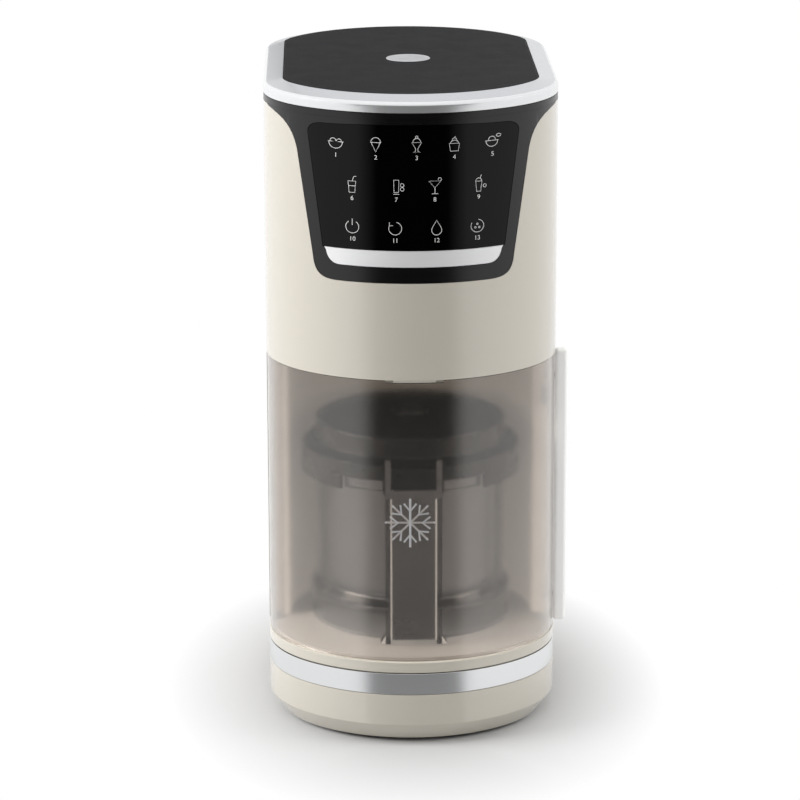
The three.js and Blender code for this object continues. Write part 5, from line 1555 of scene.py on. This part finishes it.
# %% [markdown]
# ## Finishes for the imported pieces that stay
# The drive, the boards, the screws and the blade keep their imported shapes. Each gets the finish that
# the record names for it, and its flat facets are kept, as on machined parts.

# %% Dress the rest
for name, piece in frame["nodes"].items():
    piece.data.materials.clear()
    piece.data.materials.append(finishes[slot_of[name]])
print(len(frame["nodes"]), "packed pieces dressed")

# %% [markdown]
# ## Studio
# The machine stands on a pale floor in a white room. Upright glossy faces, seen from a little above,
# mirror the floor in front of them, so a dark card lies there, and another stands at its far end. A
# third one hangs behind the machine, because the flat top mirrors what is there. Such cards are common
# in a studio. Only mirrored rays meet them, and the one in front also meets the rays that pass through
# the door. In an oval round the machine the floor is a grey paint, so its real shadow lies in a pool of
# painted shade that fades out; beyond the oval the floor is as white as the room.

# %% Rays that look, as against rays that carry light
def reckon(owner, kind, first, second):
    """One sum on two inputs, each a number or the outcome of another sum."""
    node = add_node(owner, "ShaderNodeMath", operation=kind)
    for socket, value in zip(node.inputs, (first, second)):
        if isinstance(value, (int, float)):
            socket.default_value = value
        else:
            link(owner, value, socket)
    return node.outputs[0]


def looking(owner):
    """1 for a ray that looks straight, by a mirror or through glass, 0 for one that carries light."""
    ray = add_node(owner, "ShaderNodeLightPath").outputs
    straight = reckon(owner, "MAXIMUM", ray["Is Camera Ray"], ray["Is Glossy Ray"])
    return reckon(owner, "MAXIMUM", straight, ray["Is Transmission Ray"])


def distance_from_machine(material, widen=1.0, shift=0.0):
    """How far a point lies from the machine; widen counts sideways metres for more than they are."""
    reach = add_node(material, "ShaderNodeVectorMath", operation="LENGTH")
    link(material, own_space(material, (widen, 1, 1), (0, shift, 0)), reach.inputs[0])
    return reach.outputs["Value"]


# %% Floor
bpy.ops.mesh.primitive_plane_add(size=12, location=(0, 0, 0))
floor = bpy.context.object
floor.name = "studio_floor"
OVAL_SQUEEZE = 1.55
OVAL_FORWARD = 0.02
OVAL_INNER = 0.13
OVAL_OUTER = 0.26
# Painted shade: grey paint near the machine makes an oval pool darker than the white beyond; the machine's
# real shadow falls in it as well.
floor_paint_with_painted_shade = finish("floor_paint_with_painted_shade", (204, 204, 204), 0.9)
tinted(floor_paint_with_painted_shade, 0.5, (203, 203, 203), (205, 205, 205))
reach = distance_from_machine(floor_paint_with_painted_shade, OVAL_SQUEEZE, OVAL_FORWARD)
far = spread(floor_paint_with_painted_shade, reach, 0, 1, OVAL_INNER, OVAL_OUTER)
white = add_node(floor_paint_with_painted_shade, "ShaderNodeEmission", Strength=1.0)
share(floor_paint_with_painted_shade, reckon(floor_paint_with_painted_shade, "MULTIPLY", far, looking(floor_paint_with_painted_shade)), white)
floor.data.materials.append(floor_paint_with_painted_shade)
print("floor turns white from", OVAL_INNER, "to", OVAL_OUTER, "m")


# %% Cards
def card(name, corners, near, beyond, start, end):
    """A flat card that glows from near to beyond as its distance goes from start to end."""
    piece = trace(name, corners)
    bpy.ops.mesh.edge_face_add()
    leave()
    paint = bpy.data.materials.new(name)
    paint.use_nodes = True
    glow = add_node(paint, "ShaderNodeEmission")
    fade = spread(paint, distance_from_machine(paint), near, beyond, start, end)
    link(paint, fade, glow.inputs["Strength"])
    show(paint, glow.outputs[0])
    piece.data.materials.append(paint)
    for ray in ("camera", "diffuse", "transmission", "volume_scatter", "shadow"):
        setattr(piece, f"visible_{ray}", False)
    print(f"{name} glows at {near} near the machine and at {beyond} far from it")
    return piece


# %% Card in front, and the one that stands at its far end
FLAG_NEAR = -0.147
FLAG_FAR = -3.2
FLAG_TOP = 1.7
DARKEN = (0.30, 0.02, 0.2, 1.2)


def flag_side(y):
    """Half the width of the card in front at y; it widens away from the machine."""
    return -y * 0.986 - 0.101


lying = ((-1, FLAG_NEAR), (1, FLAG_NEAR), (1, FLAG_FAR), (-1, FLAG_FAR))
front_corners = [(side * flag_side(y), y, MM) for side, y in lying]
front_flag = card("front_flag", front_corners, *DARKEN)
upright = ((1, MM), (-1, MM), (-1, FLAG_TOP), (1, FLAG_TOP))
tall_corners = [(side * flag_side(FLAG_FAR), FLAG_FAR, z) for side, z in upright]
card("tall_flag", tall_corners, *DARKEN)

# %% Card behind the top
BACK_FLAG_Y = 2.0
BACK_FLAG_HALF = 0.31
BACK_FLAG_LOW = 0.68
BACK_FLAG_HIGH = 1.32
back_corners = [
    (-BACK_FLAG_HALF, BACK_FLAG_Y, BACK_FLAG_LOW),
    (BACK_FLAG_HALF, BACK_FLAG_Y, BACK_FLAG_LOW),
    (BACK_FLAG_HALF, BACK_FLAG_Y, BACK_FLAG_HIGH),
    (-BACK_FLAG_HALF, BACK_FLAG_Y, BACK_FLAG_HIGH),
]
card("back_flag", back_corners, 0.03, 0.03, 1.8, 3.0)

# %% Soft sides for the card in front
# Towards its sides, which open like a fan, the card turns white, so a mirrored edge is never hard.
# Rays that leave by the back face of the door count as sent through, so they must meet the card too.
# Those that began on a dull surface carry light into the bay, and for them the card is white.
ALMOST_WHITE = 0.95
SIDE_START = 0.47
SIDE_END = 0.86
FAN_X = 0.03
FAN_Y = 0.14
paint = front_flag.data.materials[0]
glow = next(node for node in paint.node_tree.nodes if node.type == "EMISSION")
middle_strength = glow.inputs["Strength"].links[0].from_socket

sideways = reckon(paint, "SUBTRACT", reckon(paint, "ABSOLUTE", along(paint, "X"), 0), FAN_X)
forward = reckon(paint, "SUBTRACT", reckon(paint, "ABSOLUTE", along(paint, "Y"), 0), FAN_Y)
fan = reckon(paint, "DIVIDE", sideways, forward)
soft_side = spread(paint, fan, 0, ALMOST_WHITE, SIDE_START, SIDE_END)
dull_bounces = add_node(paint, "ShaderNodeLightPath").outputs["Diffuse Depth"]
carries = reckon(paint, "MINIMUM", dull_bounces, ALMOST_WHITE)
strength = reckon(paint, "MAXIMUM", reckon(paint, "MAXIMUM", middle_strength, soft_side), carries)
link(paint, strength, glow.inputs["Strength"])
front_flag.visible_transmission = True
print("front card is soft from", SIDE_START, "to", SIDE_END, "of its spread")

# %% Room
# It looks white, and gives the machine about a third of the light that such a room would.
ROOM_LIGHT = 0.32
ROOM_LOOK = 1.0
world = bpy.data.worlds.new("white_room")
bpy.context.scene.world = world
world.use_nodes = True
background = world.node_tree.nodes["Background"]
background.inputs["Color"].default_value = (1, 1, 1, 1)
link(world, spread(world, looking(world), ROOM_LIGHT, ROOM_LOOK, 0, 1), background.inputs["Strength"])
print("room gives", ROOM_LIGHT, "and looks", ROOM_LOOK)


# %% Lamps
def lamp(name, place, aim, width, height, power):
    """A soft box of a width and a height in metres and a power in watts, aimed at a point."""
    bpy.ops.object.light_add(type="AREA", location=place)
    piece = bpy.context.object
    piece.name = name
    piece.data.shape = "RECTANGLE"
    piece.data.size = width
    piece.data.size_y = height
    piece.data.energy = power
    direction = Vector(aim) - Vector(place)
    piece.rotation_euler = direction.to_track_quat("-Z", "Y").to_euler()
    piece.visible_glossy = False
    print(name, power, "W at", place)


lamp("left_box", (-2.3, -0.4, 1.5), (0, 0, 0.2), 1.4, 1.6, 62)
lamp("right_box", (2.2, -0.4, 1.5), (0, 0, 0.2), 1.2, 1.6, 29)
lamp("top_box", (0, 0.3, 2.6), (0, 0, 0), 1.8, 1.8, 16)

# %% Sizes and the end
print("faces in all:", sum(len(piece.data.polygons) for piece in made))
